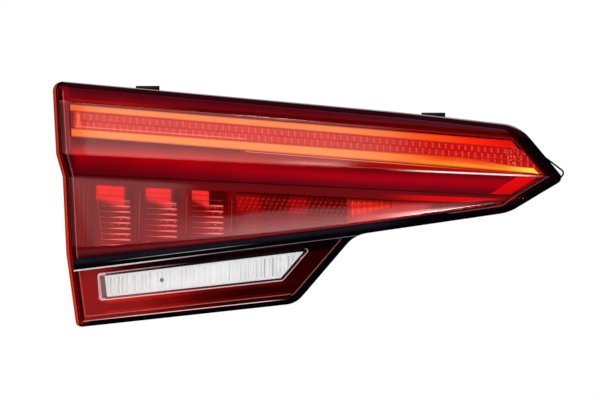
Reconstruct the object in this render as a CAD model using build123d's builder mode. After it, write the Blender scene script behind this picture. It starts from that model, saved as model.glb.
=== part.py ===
"""Tailgate tail light cluster of a car, left hand, as an assembly of its real pieces.

Frame: +X runs from the outer end to the pointed tip, +Y runs forward into the tailgate, +Z is up.
The lens faces -Y. The origin lies midway between the two mounting studs, on the plane where the lamp
seats on the tailgate. "Depth" below is the distance of a point from that plane towards the viewer,
along -Y. All sizes are millimetres.
"""

import os

from build123d import *

# Outline corners in the front view, before rounding. "In" is measured from the outer end.
OUTER_X = -209.6
TOP_Z = 63.5
SHOULDER_IN, SHOULDER_Z = 3.0, 6.0
WAIST_IN, WAIST_Z = 8.2, -12.0
KNEE_IN, KNEE_Z = 11.0, -72.0
HEEL_IN, HEEL_Z = 19.0, -130.0
TOE_X, TOE_Z = -20.0, -111.4
NOTCH_X, NOTCH_Z = 26.0, -57.5
CHIN_X, CHIN_Z = 147.0, -40.0
TIP_X, TIP_Z = 190.5, -14.0
BROW_X, BROW_Z = 155.5, 28.4
ROOF_X, ROOF_Z = 75.0, 37.5

# Rounding of those corners
TOP_R, SIDE_R, HEEL_R, TOE_R, NOTCH_R = 7.0, 6.0, 3.5, 19.0, 25.0
CHIN_R, TIP_R, BROW_R, ROOF_R = 38.0, 5.0, 30.0, 2500.0

# Creases of the lens: height at the outer end, height at the tip, depth at the middle of the bow
ROOF_LINE, ROOF_DEPTH = (66.5, 29.0), 66.0
EAVES_LINE, EAVES_DEPTH = (48.6, 16.6), 75.8
CREST_LINE, CREST_DEPTH = (6.1, -12.5), 84.0
WAIST_LINE, WAIST_DEPTH = (-9.5, -27.2), 73.0
SILL_LINE, SILL_DEPTH = (-70.2, -31.0), 80.0
BAND_TOP_LINE, BAND_TOP_DEPTH = (-74.5, -33.5), 80.5
BAND_LOW_LINE, BAND_LOW_DEPTH = (-87.2, -38.0), 81.2
LEDGE_DROP, LEDGE_DEPTH = 1.2, 75.0
BASE_LINE, BASE_DEPTH = (-136.0, -92.0), 71.0

# Bow of the whole front in plan: it falls back by BOW_FALL at BOW_RUN from its foremost line
BOW_X, BOW_FALL, BOW_RUN = 30.0, 14.0, 240.0
SECTIONS = 5
MARGIN = 14.0

# Depth planes
BACK_DEPTH = 10.0
WELD_DEPTH = 24.0
BOARD_DEPTH = 34.0

# Walls and clearances
LENS_WALL = 2.8
HOUSING_WALL = 2.5
CLEAR = 0.3
SLIP = 0.05

# Lens shots
RIM_WIDTH, RIM_SHIFT = 5.0, 2.6
OUTER_BORDER = 9.0

# Trim frame behind the lens
BEZEL_SETBACK, BEZEL_WALL = 8.0, 2.4

# Ring-shaped tail light guide and the stop light optic inside it
GUIDE_TOP_LINE = (46.1, 14.0)
UPPER_BAR, STOP_OPENING, LOWER_BAR = 4.6, 14.4, 6.5
GUIDE_INSET, LINK_INSET, LINK_WIDTH = 11.0, 15.6, 2.6
GUIDE_SETBACK, GUIDE_THICK = 6.5, 12.0
STOP_SETBACK, STOP_THICK = 8.5, 4.0
PILLOW_PITCH, PILLOW_ROW = 14.0, 6.6
PILLOW_LENGTH, PILLOW_WIDTH, PILLOW_RISE, PILLOW_TAPER = 11.6, 5.4, 1.2, 35.0

# Fog light compartment: three stepped reflector cells and two optics
CELL_TOP_LINE, CELL_LOW_LINE, SIDE_LOW_LINE = (-16.0, -38.0), (-70.6, -29.5), (-104.5, -0.5)
CELL_X, CELL_WIDTH, CELL_PITCH, CELLS = -177.0, 32.0, 36.5, 3
CELL_FLANGE, CELL_FLOOR, CELL_REAR_DEPTH = 2.0, 2.4, 40.0
STEP_HEIGHT, STEP_RISE = 4.4, 1.25
LED_PORT = 6.0
FOG_OPTIC_X, FOG_OPTIC_LENGTH = -66.0, 86.0
SIDE_OPTIC_GAP, SIDE_OPTIC_LENGTH = 3.0, 32.0
FOG_SETBACK, FOG_THICK = 9.0, 3.5
SIDE_RIB_PITCH, SIDE_RIB_WIDTH, SIDE_RIB_RISE, SIDE_RIB_EDGE = 4.0, 2.6, 1.2, 0.9

# Reversing light
REVERSE_TOP_DROP, REVERSE_BASE_RISE = 4.8, 18.7
REVERSE_OUTER_X, REVERSE_OUTER_LEAN = -176.0, 2.5
REVERSE_INNER_X, REVERSE_INNER_LEAN = -7.5, 23.0
REVERSE_R, REVERSE_RIM = 2.5, 2.6
REVERSE_SETBACK, REVERSE_THICK = 7.0, 4.0
FLUTE_PITCH, FLUTE_RISE = 4.2, 1.1

# Circuit boards, light emitting diodes and screws
BOARD_THICK, BOARD_EDGE, BOARD_INSET = 1.6, 1.0, 17.0
LED_SIDE, LED_HEIGHT = 3.0, 0.9
STOP_LED_PITCH, TAIL_LED_PITCH, REVERSE_LED_PITCH = 26.0, 22.0, 20.0
BOSS_R, BOSS_SIDES, SCREW_R, PILOT_DEPTH = 3.8, 8, 1.4, 10.0
SCREW_HEAD_R, SCREW_HEAD = 2.8, 2.0
STOP_BOSS_X = (-168.0, -64.0, 46.0, 128.0)
FOG_BOSS_X = (-160.0, -87.0, 40.0)
REVERSE_BOSS_X = (-158.0, -52.0)

# Rear housing
FLANGE_THICK, BODY_INSET = 4.0, 8.0
TONGUE_WALL, TONGUE_HEIGHT = 2.2, 6.0
RIB_HEIGHT, RIB_THICK, RIB_PITCH = 5.0, 1.8, 45.0
RIB_FRAME = 6.0

# Mounting studs, seating bosses and locating peg
STUD_SPACING, STUD_R, STUD_LENGTH, STUD_ROOT = 240.0, 3.0, 20.0, 8.0
COLLAR_R, COLLAR_THICK = 7.0, 2.5
SEAT_R, SEAT_SIDES = 11.5, 12
PEG_X, PEG_Z, PEG_R, PEG_LENGTH, PEG_SEAT_R = -150.0, -104.0, 4.0, 14.0, 8.0

# Harness connector, its pins and the foam gasket round it
PLUG_X = -122.0
PLUG_LENGTH, PLUG_HEIGHT, PLUG_WALL, PLUG_FLOOR, PLUG_TAIL = 32.0, 17.0, 1.8, 4.0, 8.0
PIN_SIDE, PIN_PITCH, PINS, PIN_TAIL = 1.0, 3.8, 6, 2.0
GASKET_MARGIN, GASKET_WIDTH, GASKET_PROUD = 7.0, 9.0, 1.5
JUMPER_WIDTH, JUMPER_THICK, JUMPER_LOOP = 9.0, 0.8, 7.0
JUMPER_X = (-140.0, -104.0)

# Breather
VENT_X, VENT_Z = -70.0, -92.0
VENT_R, VENT_HEIGHT, VENT_CAP_WALL = 8.0, 6.0, 1.6
VENT_PIPE_R, VENT_BORE_R, VENT_PIPE = 4.0, 2.0, 4.0
VENT_NOTCH, VENT_NOTCHES = 2.4, 6

# Spring clips on the roof of the housing and the rubber lip at the tip
CLIP_X = (-134.3, 91.3)
CLIP_WIDTH, CLIP_THICK, CLIP_PROUD, CLIP_LENGTH, CLIP_SEAT = 18.5, 1.4, 3.4, 9.0, 2.0
LIP_THICK, LIP_RISE, LIP_LENGTH, LIP_FOOT, LIP_R = 1.3, 7.2, 31.0, 12.0, 3.0

OUTLINE = [
    ((OUTER_X, TOP_Z), TOP_R),
    ((ROOF_X, ROOF_Z), ROOF_R),
    ((BROW_X, BROW_Z), BROW_R),
    ((TIP_X, TIP_Z), TIP_R),
    ((CHIN_X, CHIN_Z), CHIN_R),
    ((NOTCH_X, NOTCH_Z), NOTCH_R),
    ((TOE_X, TOE_Z), TOE_R),
    ((OUTER_X + HEEL_IN, HEEL_Z), HEEL_R),
    ((OUTER_X + KNEE_IN, KNEE_Z), SIDE_R),
    ((OUTER_X + WAIST_IN, WAIST_Z), SIDE_R),
    ((OUTER_X + SHOULDER_IN, SHOULDER_Z), SIDE_R),
]


def height(line, x):
    """Height at x of a straight feature line, given by its heights at the outer end and at the tip."""
    outer, tip = line
    return outer + (tip - outer) * (x - OUTER_X) / (TIP_X - OUTER_X)


def shifted(line, rise):
    """The same feature line moved up by rise."""
    return tuple(z + rise for z in line)


def bow(x):
    """How far the front falls back at x."""
    return BOW_FALL * ((x - BOW_X) / BOW_RUN) ** 2


def front_profile(x, setback):
    """The lens front in section at x, moved back by setback: (depth, height) pairs from the roof down."""
    creases = [
        (ROOF_DEPTH, ROOF_LINE),
        (EAVES_DEPTH, EAVES_LINE),
        (CREST_DEPTH, CREST_LINE),
        (WAIST_DEPTH, WAIST_LINE),
        (SILL_DEPTH, SILL_LINE),
        (BAND_TOP_DEPTH, BAND_TOP_LINE),
        (BAND_LOW_DEPTH, BAND_LOW_LINE),
        (LEDGE_DEPTH, shifted(BAND_LOW_LINE, -LEDGE_DROP)),
        (BASE_DEPTH, BASE_LINE),
    ]
    return [(depth - bow(x) - setback, height(line, x)) for depth, line in creases]


def front_depth(x, z, setback=0.0):
    """Depth of the lens front at one point of the front view, moved back by setback."""
    profile = front_profile(x, setback)
    for (upper_depth, upper_z), (lower_depth, lower_z) in zip(profile, profile[1:]):
        if lower_z <= z <= upper_z:
            return upper_depth + (lower_depth - upper_depth) * (upper_z - z) / (upper_z - lower_z)
    return profile[0][0] if z > profile[0][1] else profile[-1][0]


def front_loft(setback, rear_setback=None, span=(OUTER_X, TIP_X), sections=SECTIONS):
    """The space behind the lens front: down to the weld plane, or a sheet as deep as the two setbacks say."""
    first, last = span[0] - MARGIN, span[1] + MARGIN
    with BuildPart() as space:
        for i in range(sections):
            x = first + (last - first) * i / (sections - 1)
            front = front_profile(x, setback)
            if rear_setback is None:
                rear = [(WELD_DEPTH, front[-1][1]), (WELD_DEPTH, front[0][1])]
            else:
                rear = front_profile(x, rear_setback)[::-1]
            with BuildSketch(Plane.YZ.offset(x)):
                with BuildLine():
                    Polyline(*[(-depth, z) for depth, z in front + rear], close=True)
                make_face()
        loft()
    return space.part


def outline(inset=0.0):
    """The lamp's outline in the front view, moved in by inset."""
    with BuildSketch() as region:
        with BuildLine():
            FilletPolyline(*[p for p, r in OUTLINE], radius=[r for p, r in OUTLINE], close=True)
        make_face()
        if inset:
            offset(amount=-inset)
    return region.sketch


def strip(upper, lower, start=OUTER_X - MARGIN, end=TIP_X + MARGIN):
    """The region of the front view between two feature lines, from start to end."""
    with BuildSketch() as region:
        with BuildLine():
            Polyline(
                (start, height(upper, start)),
                (end, height(upper, end)),
                (end, height(lower, end)),
                (start, height(lower, start)),
                close=True,
            )
        make_face()
    return region.sketch


def cut_from(space, region):
    """The part of a space or sheet that lies behind a region of the front view."""
    with BuildPart() as piece:
        add(space)
        with BuildSketch(Plane.XZ):
            add(region)
        extrude(amount=CREST_DEPTH + MARGIN, mode=Mode.INTERSECT)
    return piece.part


def plate(region, depth, thick):
    """A flat plate over a region of the front view, from depth forward by thick."""
    with BuildPart() as piece:
        with BuildSketch(Plane.XZ.offset(depth)):
            add(region)
        extrude(amount=thick)
    return piece.part


def grown(region, amount):
    """A region of the front view with its edge moved out by amount."""
    with BuildSketch() as larger:
        add(region)
        offset(amount=amount, kind=Kind.INTERSECTION)
    return larger.sketch


def evenly(start, end, pitch):
    """Places from start to end at about the given pitch, centred between them."""
    count = int((end - start) / pitch)
    first = (start + end - count * pitch) / 2
    return [first + i * pitch for i in range(count + 1)]


os.makedirs("parts", exist_ok=True)


def finish(part, name):
    """Names a finished piece and writes it."""
    part.label = name
    export_step(part, f"parts/{name}.step")


# Regions of the front view that several pieces share
upper_low_line = shifted(GUIDE_TOP_LINE, -UPPER_BAR)
lower_top_line = shifted(upper_low_line, -STOP_OPENING)
guide_low_line = shifted(lower_top_line, -LOWER_BAR)
stop_mid_line = shifted(upper_low_line, -STOP_OPENING / 2)
cell_mid_line = tuple((a + b) / 2 for a, b in zip(CELL_TOP_LINE, CELL_LOW_LINE))
fog_optic_end = FOG_OPTIC_X + FOG_OPTIC_LENGTH
side_optic_x = fog_optic_end + SIDE_OPTIC_GAP
side_optic_end = side_optic_x + SIDE_OPTIC_LENGTH
cells_end = CELL_X + CELL_PITCH * (CELLS - 1) + CELL_WIDTH

with BuildSketch() as guide_region:
    add(strip(GUIDE_TOP_LINE, upper_low_line))
    add(strip(lower_top_line, guide_low_line))
    add(outline(GUIDE_INSET), mode=Mode.INTERSECT)
    with BuildSketch(mode=Mode.PRIVATE) as links:
        add(strip(upper_low_line, lower_top_line))
        add(outline(LINK_INSET), mode=Mode.INTERSECT)
        add(outline(LINK_INSET + LINK_WIDTH), mode=Mode.SUBTRACT)
    add(links.sketch)

with BuildSketch() as stop_region:
    add(strip(shifted(upper_low_line, -CLEAR), shifted(lower_top_line, CLEAR)))
    add(outline(LINK_INSET + LINK_WIDTH + CLEAR), mode=Mode.INTERSECT)

with BuildSketch() as signature_region:
    add(strip(GUIDE_TOP_LINE, guide_low_line))
    add(outline(GUIDE_INSET), mode=Mode.INTERSECT)


def base_height(x):
    """Height of the lower lobe's bottom edge at x."""
    heel_x = OUTER_X + HEEL_IN
    return HEEL_Z + (TOE_Z - HEEL_Z) * (x - heel_x) / (TOE_X - heel_x)


with BuildSketch() as reverse_region:
    with BuildLine():
        top_line = shifted(BAND_LOW_LINE, -REVERSE_TOP_DROP)
        low_outer_x = REVERSE_OUTER_X + REVERSE_OUTER_LEAN
        low_inner_x = REVERSE_INNER_X - REVERSE_INNER_LEAN
        FilletPolyline(
            (REVERSE_OUTER_X, height(top_line, REVERSE_OUTER_X)),
            (REVERSE_INNER_X, height(top_line, REVERSE_INNER_X)),
            (low_inner_x, base_height(low_inner_x) + REVERSE_BASE_RISE),
            (low_outer_x, base_height(low_outer_x) + REVERSE_BASE_RISE),
            radius=REVERSE_R,
            close=True,
        )
    make_face()
reverse_optic_region = grown(reverse_region.sketch, -REVERSE_RIM)

cells_window = strip(CELL_TOP_LINE, CELL_LOW_LINE, CELL_X - CELL_FLANGE, cells_end + CELL_FLANGE)
fog_optic_region = strip(CELL_TOP_LINE, CELL_LOW_LINE, FOG_OPTIC_X, fog_optic_end)
side_optic_region = strip(CELL_TOP_LINE, SIDE_LOW_LINE, side_optic_x, side_optic_end)

# Opaque black shot of the lens: the rim round the roof, the tip and the base, and the band between the lobes
with BuildSketch() as black_region:
    add(outline())
    add(Pos(-RIM_SHIFT, 0) * outline(RIM_WIDTH), mode=Mode.SUBTRACT)
    add(strip(BAND_TOP_LINE, shifted(BAND_LOW_LINE, -LEDGE_DROP)))
    add(outline(), mode=Mode.INTERSECT)
    with BuildLine():
        border = [(x + OUTER_BORDER, z) for (x, z), r in OUTLINE[-4:]]
        Polyline(
            (OUTER_X - MARGIN, HEEL_Z - MARGIN),
            (border[0][0], HEEL_Z - MARGIN),
            *border,
            (OUTER_X + OUTER_BORDER, TOP_Z + MARGIN),
            (OUTER_X - MARGIN, TOP_Z + MARGIN),
            close=True,
        )
    make_face(mode=Mode.SUBTRACT)

# Lens: one moulded shell of three shots, red, black and clear
with BuildPart() as lens_shell:
    add(cut_from(front_loft(0.0), outline()))
    add(cut_from(front_loft(LENS_WALL), outline(LENS_WALL)), mode=Mode.SUBTRACT)

with BuildPart() as black_shot:
    add(lens_shell.part)
    with BuildSketch(Plane.XZ):
        add(black_region.sketch)
    extrude(amount=CREST_DEPTH + MARGIN, mode=Mode.INTERSECT)
finish(black_shot.part, "black_lens_shot")

with BuildPart() as clear_shot:
    add(lens_shell.part)
    with BuildSketch(Plane.XZ):
        add(reverse_region.sketch)
    extrude(amount=CREST_DEPTH + MARGIN, mode=Mode.INTERSECT)
finish(clear_shot.part, "clear_reverse_window")

with BuildPart() as red_shot:
    add(lens_shell.part)
    with BuildSketch(Plane.XZ):
        add(black_region.sketch)
        add(reverse_region.sketch)
    extrude(amount=CREST_DEPTH + MARGIN, mode=Mode.SUBTRACT)
finish(red_shot.part, "red_lens")

# Trim frame: one sheet that follows the lens, with a window for each light
with BuildPart() as inner_bezel:
    add(front_loft(BEZEL_SETBACK, BEZEL_SETBACK + BEZEL_WALL))
    with BuildSketch(Plane.XZ):
        add(outline(LENS_WALL + CLEAR))
        add(grown(signature_region.sketch, CLEAR), mode=Mode.SUBTRACT)
        add(cells_window, mode=Mode.SUBTRACT)
        add(grown(fog_optic_region, CLEAR), mode=Mode.SUBTRACT)
        add(grown(side_optic_region, CLEAR), mode=Mode.SUBTRACT)
        add(grown(reverse_optic_region, CLEAR), mode=Mode.SUBTRACT)
    extrude(amount=CREST_DEPTH + MARGIN, mode=Mode.INTERSECT)
finish(inner_bezel.part, "inner_bezel")

# Tail light guide: two bars joined by a link near each end
guide = cut_from(front_loft(GUIDE_SETBACK, GUIDE_SETBACK + GUIDE_THICK), guide_region.sketch)
finish(guide, "tail_light_guide")

# Stop light optic: a strip with two staggered rows of tapered pillows
with BuildPart() as pillow:
    with BuildSketch(Plane.XZ):
        Rectangle(PILLOW_LENGTH, PILLOW_WIDTH)
    extrude(amount=PILLOW_RISE, taper=PILLOW_TAPER)

with BuildPart() as stop_optic:
    add(cut_from(front_loft(STOP_SETBACK, STOP_SETBACK + STOP_THICK), stop_region.sketch))
    inner_face = grown(stop_region.sketch, -PILLOW_WIDTH / 2 - CLEAR).faces()[0]
    optic_box = grown(stop_region.sketch, -PILLOW_LENGTH / 2).bounding_box()
    half_spine = (PILLOW_LENGTH - PILLOW_WIDTH) / 2
    seats = []
    for row, rise in enumerate((PILLOW_ROW / 2, -PILLOW_ROW / 2)):
        for x in evenly(optic_box.min.X, optic_box.max.X, PILLOW_PITCH):
            x_here = x + row * PILLOW_PITCH / 2
            z_here = height(stop_mid_line, x_here) + rise
            spine = [(x_here + way * half_spine, z_here, 0) for way in (-1, 1)]
            if all(inner_face.is_inside(end) for end in spine):
                depth = front_depth(x_here, z_here, STOP_SETBACK)
                seats.append((x_here, -depth + PILLOW_RISE / 2, z_here))
    with Locations(*seats):
        add(pillow.part)
finish(stop_optic.part, "stop_optic")

# Fog light reflector: three deep cells whose floors climb in steps, each with a port for its light source
cell_starts = [CELL_X + i * CELL_PITCH for i in range(CELLS)]
cell_leds = [(x + CELL_WIDTH / 2, height(CELL_TOP_LINE, x + CELL_WIDTH / 2) - LED_PORT) for x in cell_starts]
with BuildSketch() as cell_region:
    for x in cell_starts:
        add(strip(CELL_TOP_LINE, CELL_LOW_LINE, x, x + CELL_WIDTH))

with BuildPart() as cell_steps:
    floor_depth = CELL_REAR_DEPTH + CELL_FLOOR
    top_z, low_z = height(CELL_TOP_LINE, CELL_X), height(CELL_LOW_LINE, CELL_X)
    stair = [(-CELL_REAR_DEPTH, top_z), (-floor_depth, top_z)]
    for i in range(int((top_z - low_z) / STEP_HEIGHT)):
        z = top_z - (i + 1) * STEP_HEIGHT
        stair.append((-floor_depth - i * STEP_RISE, z))
        stair.append((-floor_depth - (i + 1) * STEP_RISE, z))
    stair.append((stair[-1][0], low_z - MARGIN))
    stair.append((-CELL_REAR_DEPTH, low_z - MARGIN))
    with BuildSketch(Plane.YZ.offset(CELL_X)):
        with BuildLine():
            Polyline(*stair, close=True)
        make_face()
    extrude(amount=cells_end - CELL_X)
    with BuildSketch(Plane.XZ):
        add(cell_region.sketch)
    extrude(amount=CREST_DEPTH, mode=Mode.INTERSECT)

with BuildPart() as fog_reflector:
    reflector_region = grown(cells_window, CELL_FLANGE)
    add(cut_from(front_loft(BEZEL_SETBACK + BEZEL_WALL + CLEAR), reflector_region))
    with BuildSketch(Plane.XZ):
        add(grown(reflector_region, MARGIN))
    extrude(amount=CELL_REAR_DEPTH, mode=Mode.SUBTRACT)
    with BuildSketch(Plane.XZ.offset(CELL_REAR_DEPTH)):
        add(cell_region.sketch)
    extrude(amount=CREST_DEPTH, mode=Mode.SUBTRACT)
    add(cell_steps.part)
    with BuildSketch(Plane.XZ.offset(CELL_REAR_DEPTH)):
        with Locations(*cell_leds):
            Rectangle(LED_PORT, LED_PORT)
    extrude(amount=CREST_DEPTH, mode=Mode.SUBTRACT)
finish(fog_reflector.part, "fog_reflector")

# Fog light optic: a flat panel of pillows set on the slant
def fog_point(x, line):
    """The point of the fog optic's front at x on a feature line."""
    z = height(line, x)
    return Vector(x, -front_depth(x, z, FOG_SETBACK), z)


fog_corner = fog_point(FOG_OPTIC_X, cell_mid_line)
fog_along = fog_point(fog_optic_end, cell_mid_line) - fog_corner
fog_up = fog_point(FOG_OPTIC_X, CELL_TOP_LINE) - fog_corner
fog_plane = Plane(fog_corner, x_dir=fog_along, z_dir=fog_along.cross(fog_up))

with BuildPart() as fog_optic:
    with BuildSketch(fog_plane):
        Rectangle(3 * FOG_OPTIC_LENGTH, 3 * FOG_OPTIC_LENGTH)
    extrude(amount=-FOG_THICK)
    with BuildSketch(Plane.XZ):
        add(fog_optic_region)
    extrude(amount=CREST_DEPTH, mode=Mode.INTERSECT)
    inner_face = grown(fog_optic_region, -PILLOW_WIDTH * 0.75).faces()[0]
    seats = []
    for row in range(-8, 9):
        for x in evenly(0, fog_along.length, PILLOW_PITCH):
            seat = (x + row % 2 * PILLOW_PITCH / 2, row * PILLOW_PITCH / 2)
            place = fog_plane.from_local_coords((*seat, 0))
            if inner_face.is_inside((place.X, place.Z, 0)):
                seats.append(seat)
    with BuildSketch(fog_plane):
        with Locations(*seats):
            Rectangle(PILLOW_WIDTH, PILLOW_WIDTH, rotation=45)
    extrude(amount=PILLOW_RISE, taper=PILLOW_TAPER)
finish(fog_optic.part, "fog_optic")

# Side optic: two rows of upright ribs
with BuildPart() as side_optic:
    side_span = (side_optic_x, side_optic_end)
    add(cut_from(front_loft(FOG_SETBACK, FOG_SETBACK + FOG_THICK, side_span, 2), side_optic_region))
    with BuildSketch() as rib_region:
        for x in evenly(side_optic_x + SIDE_RIB_PITCH, side_optic_end - SIDE_RIB_PITCH, SIDE_RIB_PITCH):
            top, low = height(CELL_TOP_LINE, x), height(SIDE_LOW_LINE, x)
            reach = (top - low) / 2 - SIDE_RIB_EDGE
            for way in (1, -1):
                with Locations((x, (top + low) / 2 + way * (reach / 2 + CLEAR))):
                    Rectangle(SIDE_RIB_WIDTH, reach - CLEAR)
    rib_sheet = front_loft(FOG_SETBACK - SIDE_RIB_RISE, FOG_SETBACK + SIDE_RIB_RISE, side_span, 2)
    add(cut_from(rib_sheet, rib_region.sketch))
finish(side_optic.part, "side_optic")

# Reversing light optic: a fluted panel
with BuildPart() as reverse_optic:
    reverse_span = (REVERSE_OUTER_X, REVERSE_INNER_X)
    panel = front_loft(REVERSE_SETBACK, REVERSE_SETBACK + REVERSE_THICK, reverse_span, 2)
    add(cut_from(panel, reverse_optic_region))
    with BuildSketch() as flute_region:
        panel_box = reverse_optic_region.bounding_box()
        panel_height = panel_box.max.Y - panel_box.min.Y
        for x in evenly(panel_box.min.X, panel_box.max.X, FLUTE_PITCH):
            with Locations((x, panel_box.center().Y)):
                Rectangle(FLUTE_PITCH / 2, panel_height)
        add(grown(reverse_optic_region, -FLUTE_RISE), mode=Mode.INTERSECT)
    flute_sheet = front_loft(REVERSE_SETBACK - FLUTE_RISE, REVERSE_SETBACK + FLUTE_RISE, reverse_span, 2)
    add(cut_from(flute_sheet, flute_region.sketch))
finish(reverse_optic.part, "reverse_optic")


def on_line(line, places):
    """Points of the front view on a feature line, one at each place along X."""
    return [(x, height(line, x)) for x in places]


def reverse_middle(x):
    """Height at x of the middle of the reversing light's panel."""
    return (height(top_line, x) + base_height(x) + REVERSE_BASE_RISE) / 2


stop_bosses = on_line(stop_mid_line, STOP_BOSS_X)
fog_bosses = on_line(cell_mid_line, FOG_BOSS_X)
reverse_bosses = [(x, reverse_middle(x)) for x in REVERSE_BOSS_X]
bosses = stop_bosses + fog_bosses + reverse_bosses


def board(region, holes):
    """A circuit board over a region, with a clearance hole at each of its bosses."""
    with BuildPart() as piece:
        add(plate(region, BOARD_DEPTH, BOARD_THICK))
        with BuildSketch(Plane.XZ.offset(BOARD_DEPTH)):
            with Locations(*holes):
                RegularPolygon(SCREW_R + CLEAR, BOSS_SIDES, major_radius=False)
        extrude(amount=BOARD_THICK, mode=Mode.SUBTRACT)
    return piece.part


def light_sources(points):
    """Square light emitting diodes on the front of a board, left out where a screw head lies."""
    reach = SCREW_HEAD_R + LED_SIDE
    free = [(x, z) for x, z in points if all(abs(x - a) > reach or abs(z - b) > reach for a, b in bosses)]
    with BuildPart() as piece:
        with BuildSketch(Plane.XZ.offset(BOARD_DEPTH + BOARD_THICK)):
            with Locations(*free):
                Rectangle(LED_SIDE, LED_SIDE)
        extrude(amount=LED_HEIGHT)
    return piece.part


# Circuit boards
with BuildSketch() as stop_board_region:
    add(strip(shifted(GUIDE_TOP_LINE, -BOARD_EDGE), shifted(guide_low_line, BOARD_EDGE)))
    add(outline(BOARD_INSET), mode=Mode.INTERSECT)
stop_box = stop_board_region.sketch.bounding_box()
fog_board_region = strip(
    shifted(CELL_TOP_LINE, -BOARD_EDGE), shifted(CELL_LOW_LINE, BOARD_EDGE), CELL_X, side_optic_end
)
finish(board(stop_board_region.sketch, stop_bosses), "stop_tail_board")
finish(board(fog_board_region, fog_bosses), "fog_board")
finish(board(reverse_optic_region, reverse_bosses), "reverse_board")

# Light emitting diodes of each light
led_start, led_end = stop_box.min.X + TAIL_LED_PITCH / 2, stop_box.max.X - TAIL_LED_PITCH
tail_places = evenly(led_start, led_end, TAIL_LED_PITCH)
tail_leds = on_line(shifted(GUIDE_TOP_LINE, -UPPER_BAR / 2 - BOARD_EDGE), tail_places)
tail_leds += on_line(shifted(lower_top_line, -LOWER_BAR / 2 + BOARD_EDGE), tail_places)
finish(light_sources(tail_leds), "tail_leds")
finish(light_sources(on_line(stop_mid_line, evenly(led_start, led_end, STOP_LED_PITCH))), "stop_leds")
optic_leds = evenly(FOG_OPTIC_X, fog_optic_end, STOP_LED_PITCH) + [(side_optic_x + side_optic_end) / 2]
finish(light_sources(cell_leds + on_line(cell_mid_line, optic_leds)), "fog_leds")
reverse_box = reverse_optic_region.bounding_box()
reverse_places = evenly(
    reverse_box.min.X + REVERSE_LED_PITCH / 2, reverse_box.max.X - REVERSE_LED_PITCH, REVERSE_LED_PITCH
)
finish(light_sources([(x, reverse_middle(x)) for x in reverse_places]), "reverse_leds")

# Screws that hold the boards on the housing's bosses
with BuildPart() as board_screws:
    with BuildSketch(Plane.XZ.offset(BOARD_DEPTH + BOARD_THICK)):
        with Locations(*bosses):
            RegularPolygon(SCREW_HEAD_R, 6)
    extrude(amount=SCREW_HEAD)
    with BuildSketch(Plane.XZ.offset(BOARD_DEPTH + BOARD_THICK)):
        with Locations(*bosses):
            RegularPolygon(SCREW_R, BOSS_SIDES)
    extrude(amount=-BOARD_THICK - PILOT_DEPTH + CLEAR)
finish(board_screws.part, "board_screws")

# Flexible jumpers that join the boards behind them
plug_z = height(cell_mid_line, PLUG_X)
stop_edge = height(guide_low_line, JUMPER_X[0]) + BOARD_EDGE
fog_upper_edge = height(CELL_TOP_LINE, JUMPER_X[0]) - BOARD_EDGE
fog_lower_edge = height(CELL_LOW_LINE, JUMPER_X[1]) + BOARD_EDGE
reverse_edge = height(top_line, JUMPER_X[1]) - REVERSE_RIM
loops = [
    (JUMPER_X[0], stop_edge + JUMPER_WIDTH / 2, fog_upper_edge - JUMPER_WIDTH / 2),
    (JUMPER_X[1], fog_lower_edge + JUMPER_WIDTH / 2, reverse_edge - JUMPER_WIDTH / 2),
]
with BuildPart() as board_jumpers:
    for x, upper_z, lower_z in loops:
        with BuildSketch(Plane.YZ.offset(x - JUMPER_WIDTH / 2)):
            with BuildLine():
                Polyline(
                    (-BOARD_DEPTH, upper_z),
                    (-BOARD_DEPTH + JUMPER_LOOP, upper_z),
                    (-BOARD_DEPTH + JUMPER_LOOP, lower_z),
                    (-BOARD_DEPTH, lower_z),
                )
            trace(line_width=JUMPER_THICK)
        extrude(amount=JUMPER_WIDTH)
finish(board_jumpers.part, "board_jumpers")

# Rear housing: tray, weld flange, locating tongue, bosses, ribs, seats and peg
studs = [(-STUD_SPACING / 2, 0.0), (STUD_SPACING / 2, 0.0)]
gasket_length = PLUG_LENGTH + 2 * (GASKET_MARGIN + GASKET_WIDTH)
gasket_height = PLUG_HEIGHT + 2 * (GASKET_MARGIN + GASKET_WIDTH)


def roof_height(x):
    """Height of the outline's roof at x."""
    (x0, z0), (x1, z1) = (
        ((OUTER_X, TOP_Z), (ROOF_X, ROOF_Z)) if x < ROOF_X else ((ROOF_X, ROOF_Z), (BROW_X, BROW_Z))
    )
    return z0 + (z1 - z0) * (x - x0) / (x1 - x0)


clip_seats = [(x, roof_height(x) - BODY_INSET + CLIP_SEAT) for x in CLIP_X]
flange_rear = WELD_DEPTH - FLANGE_THICK

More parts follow.
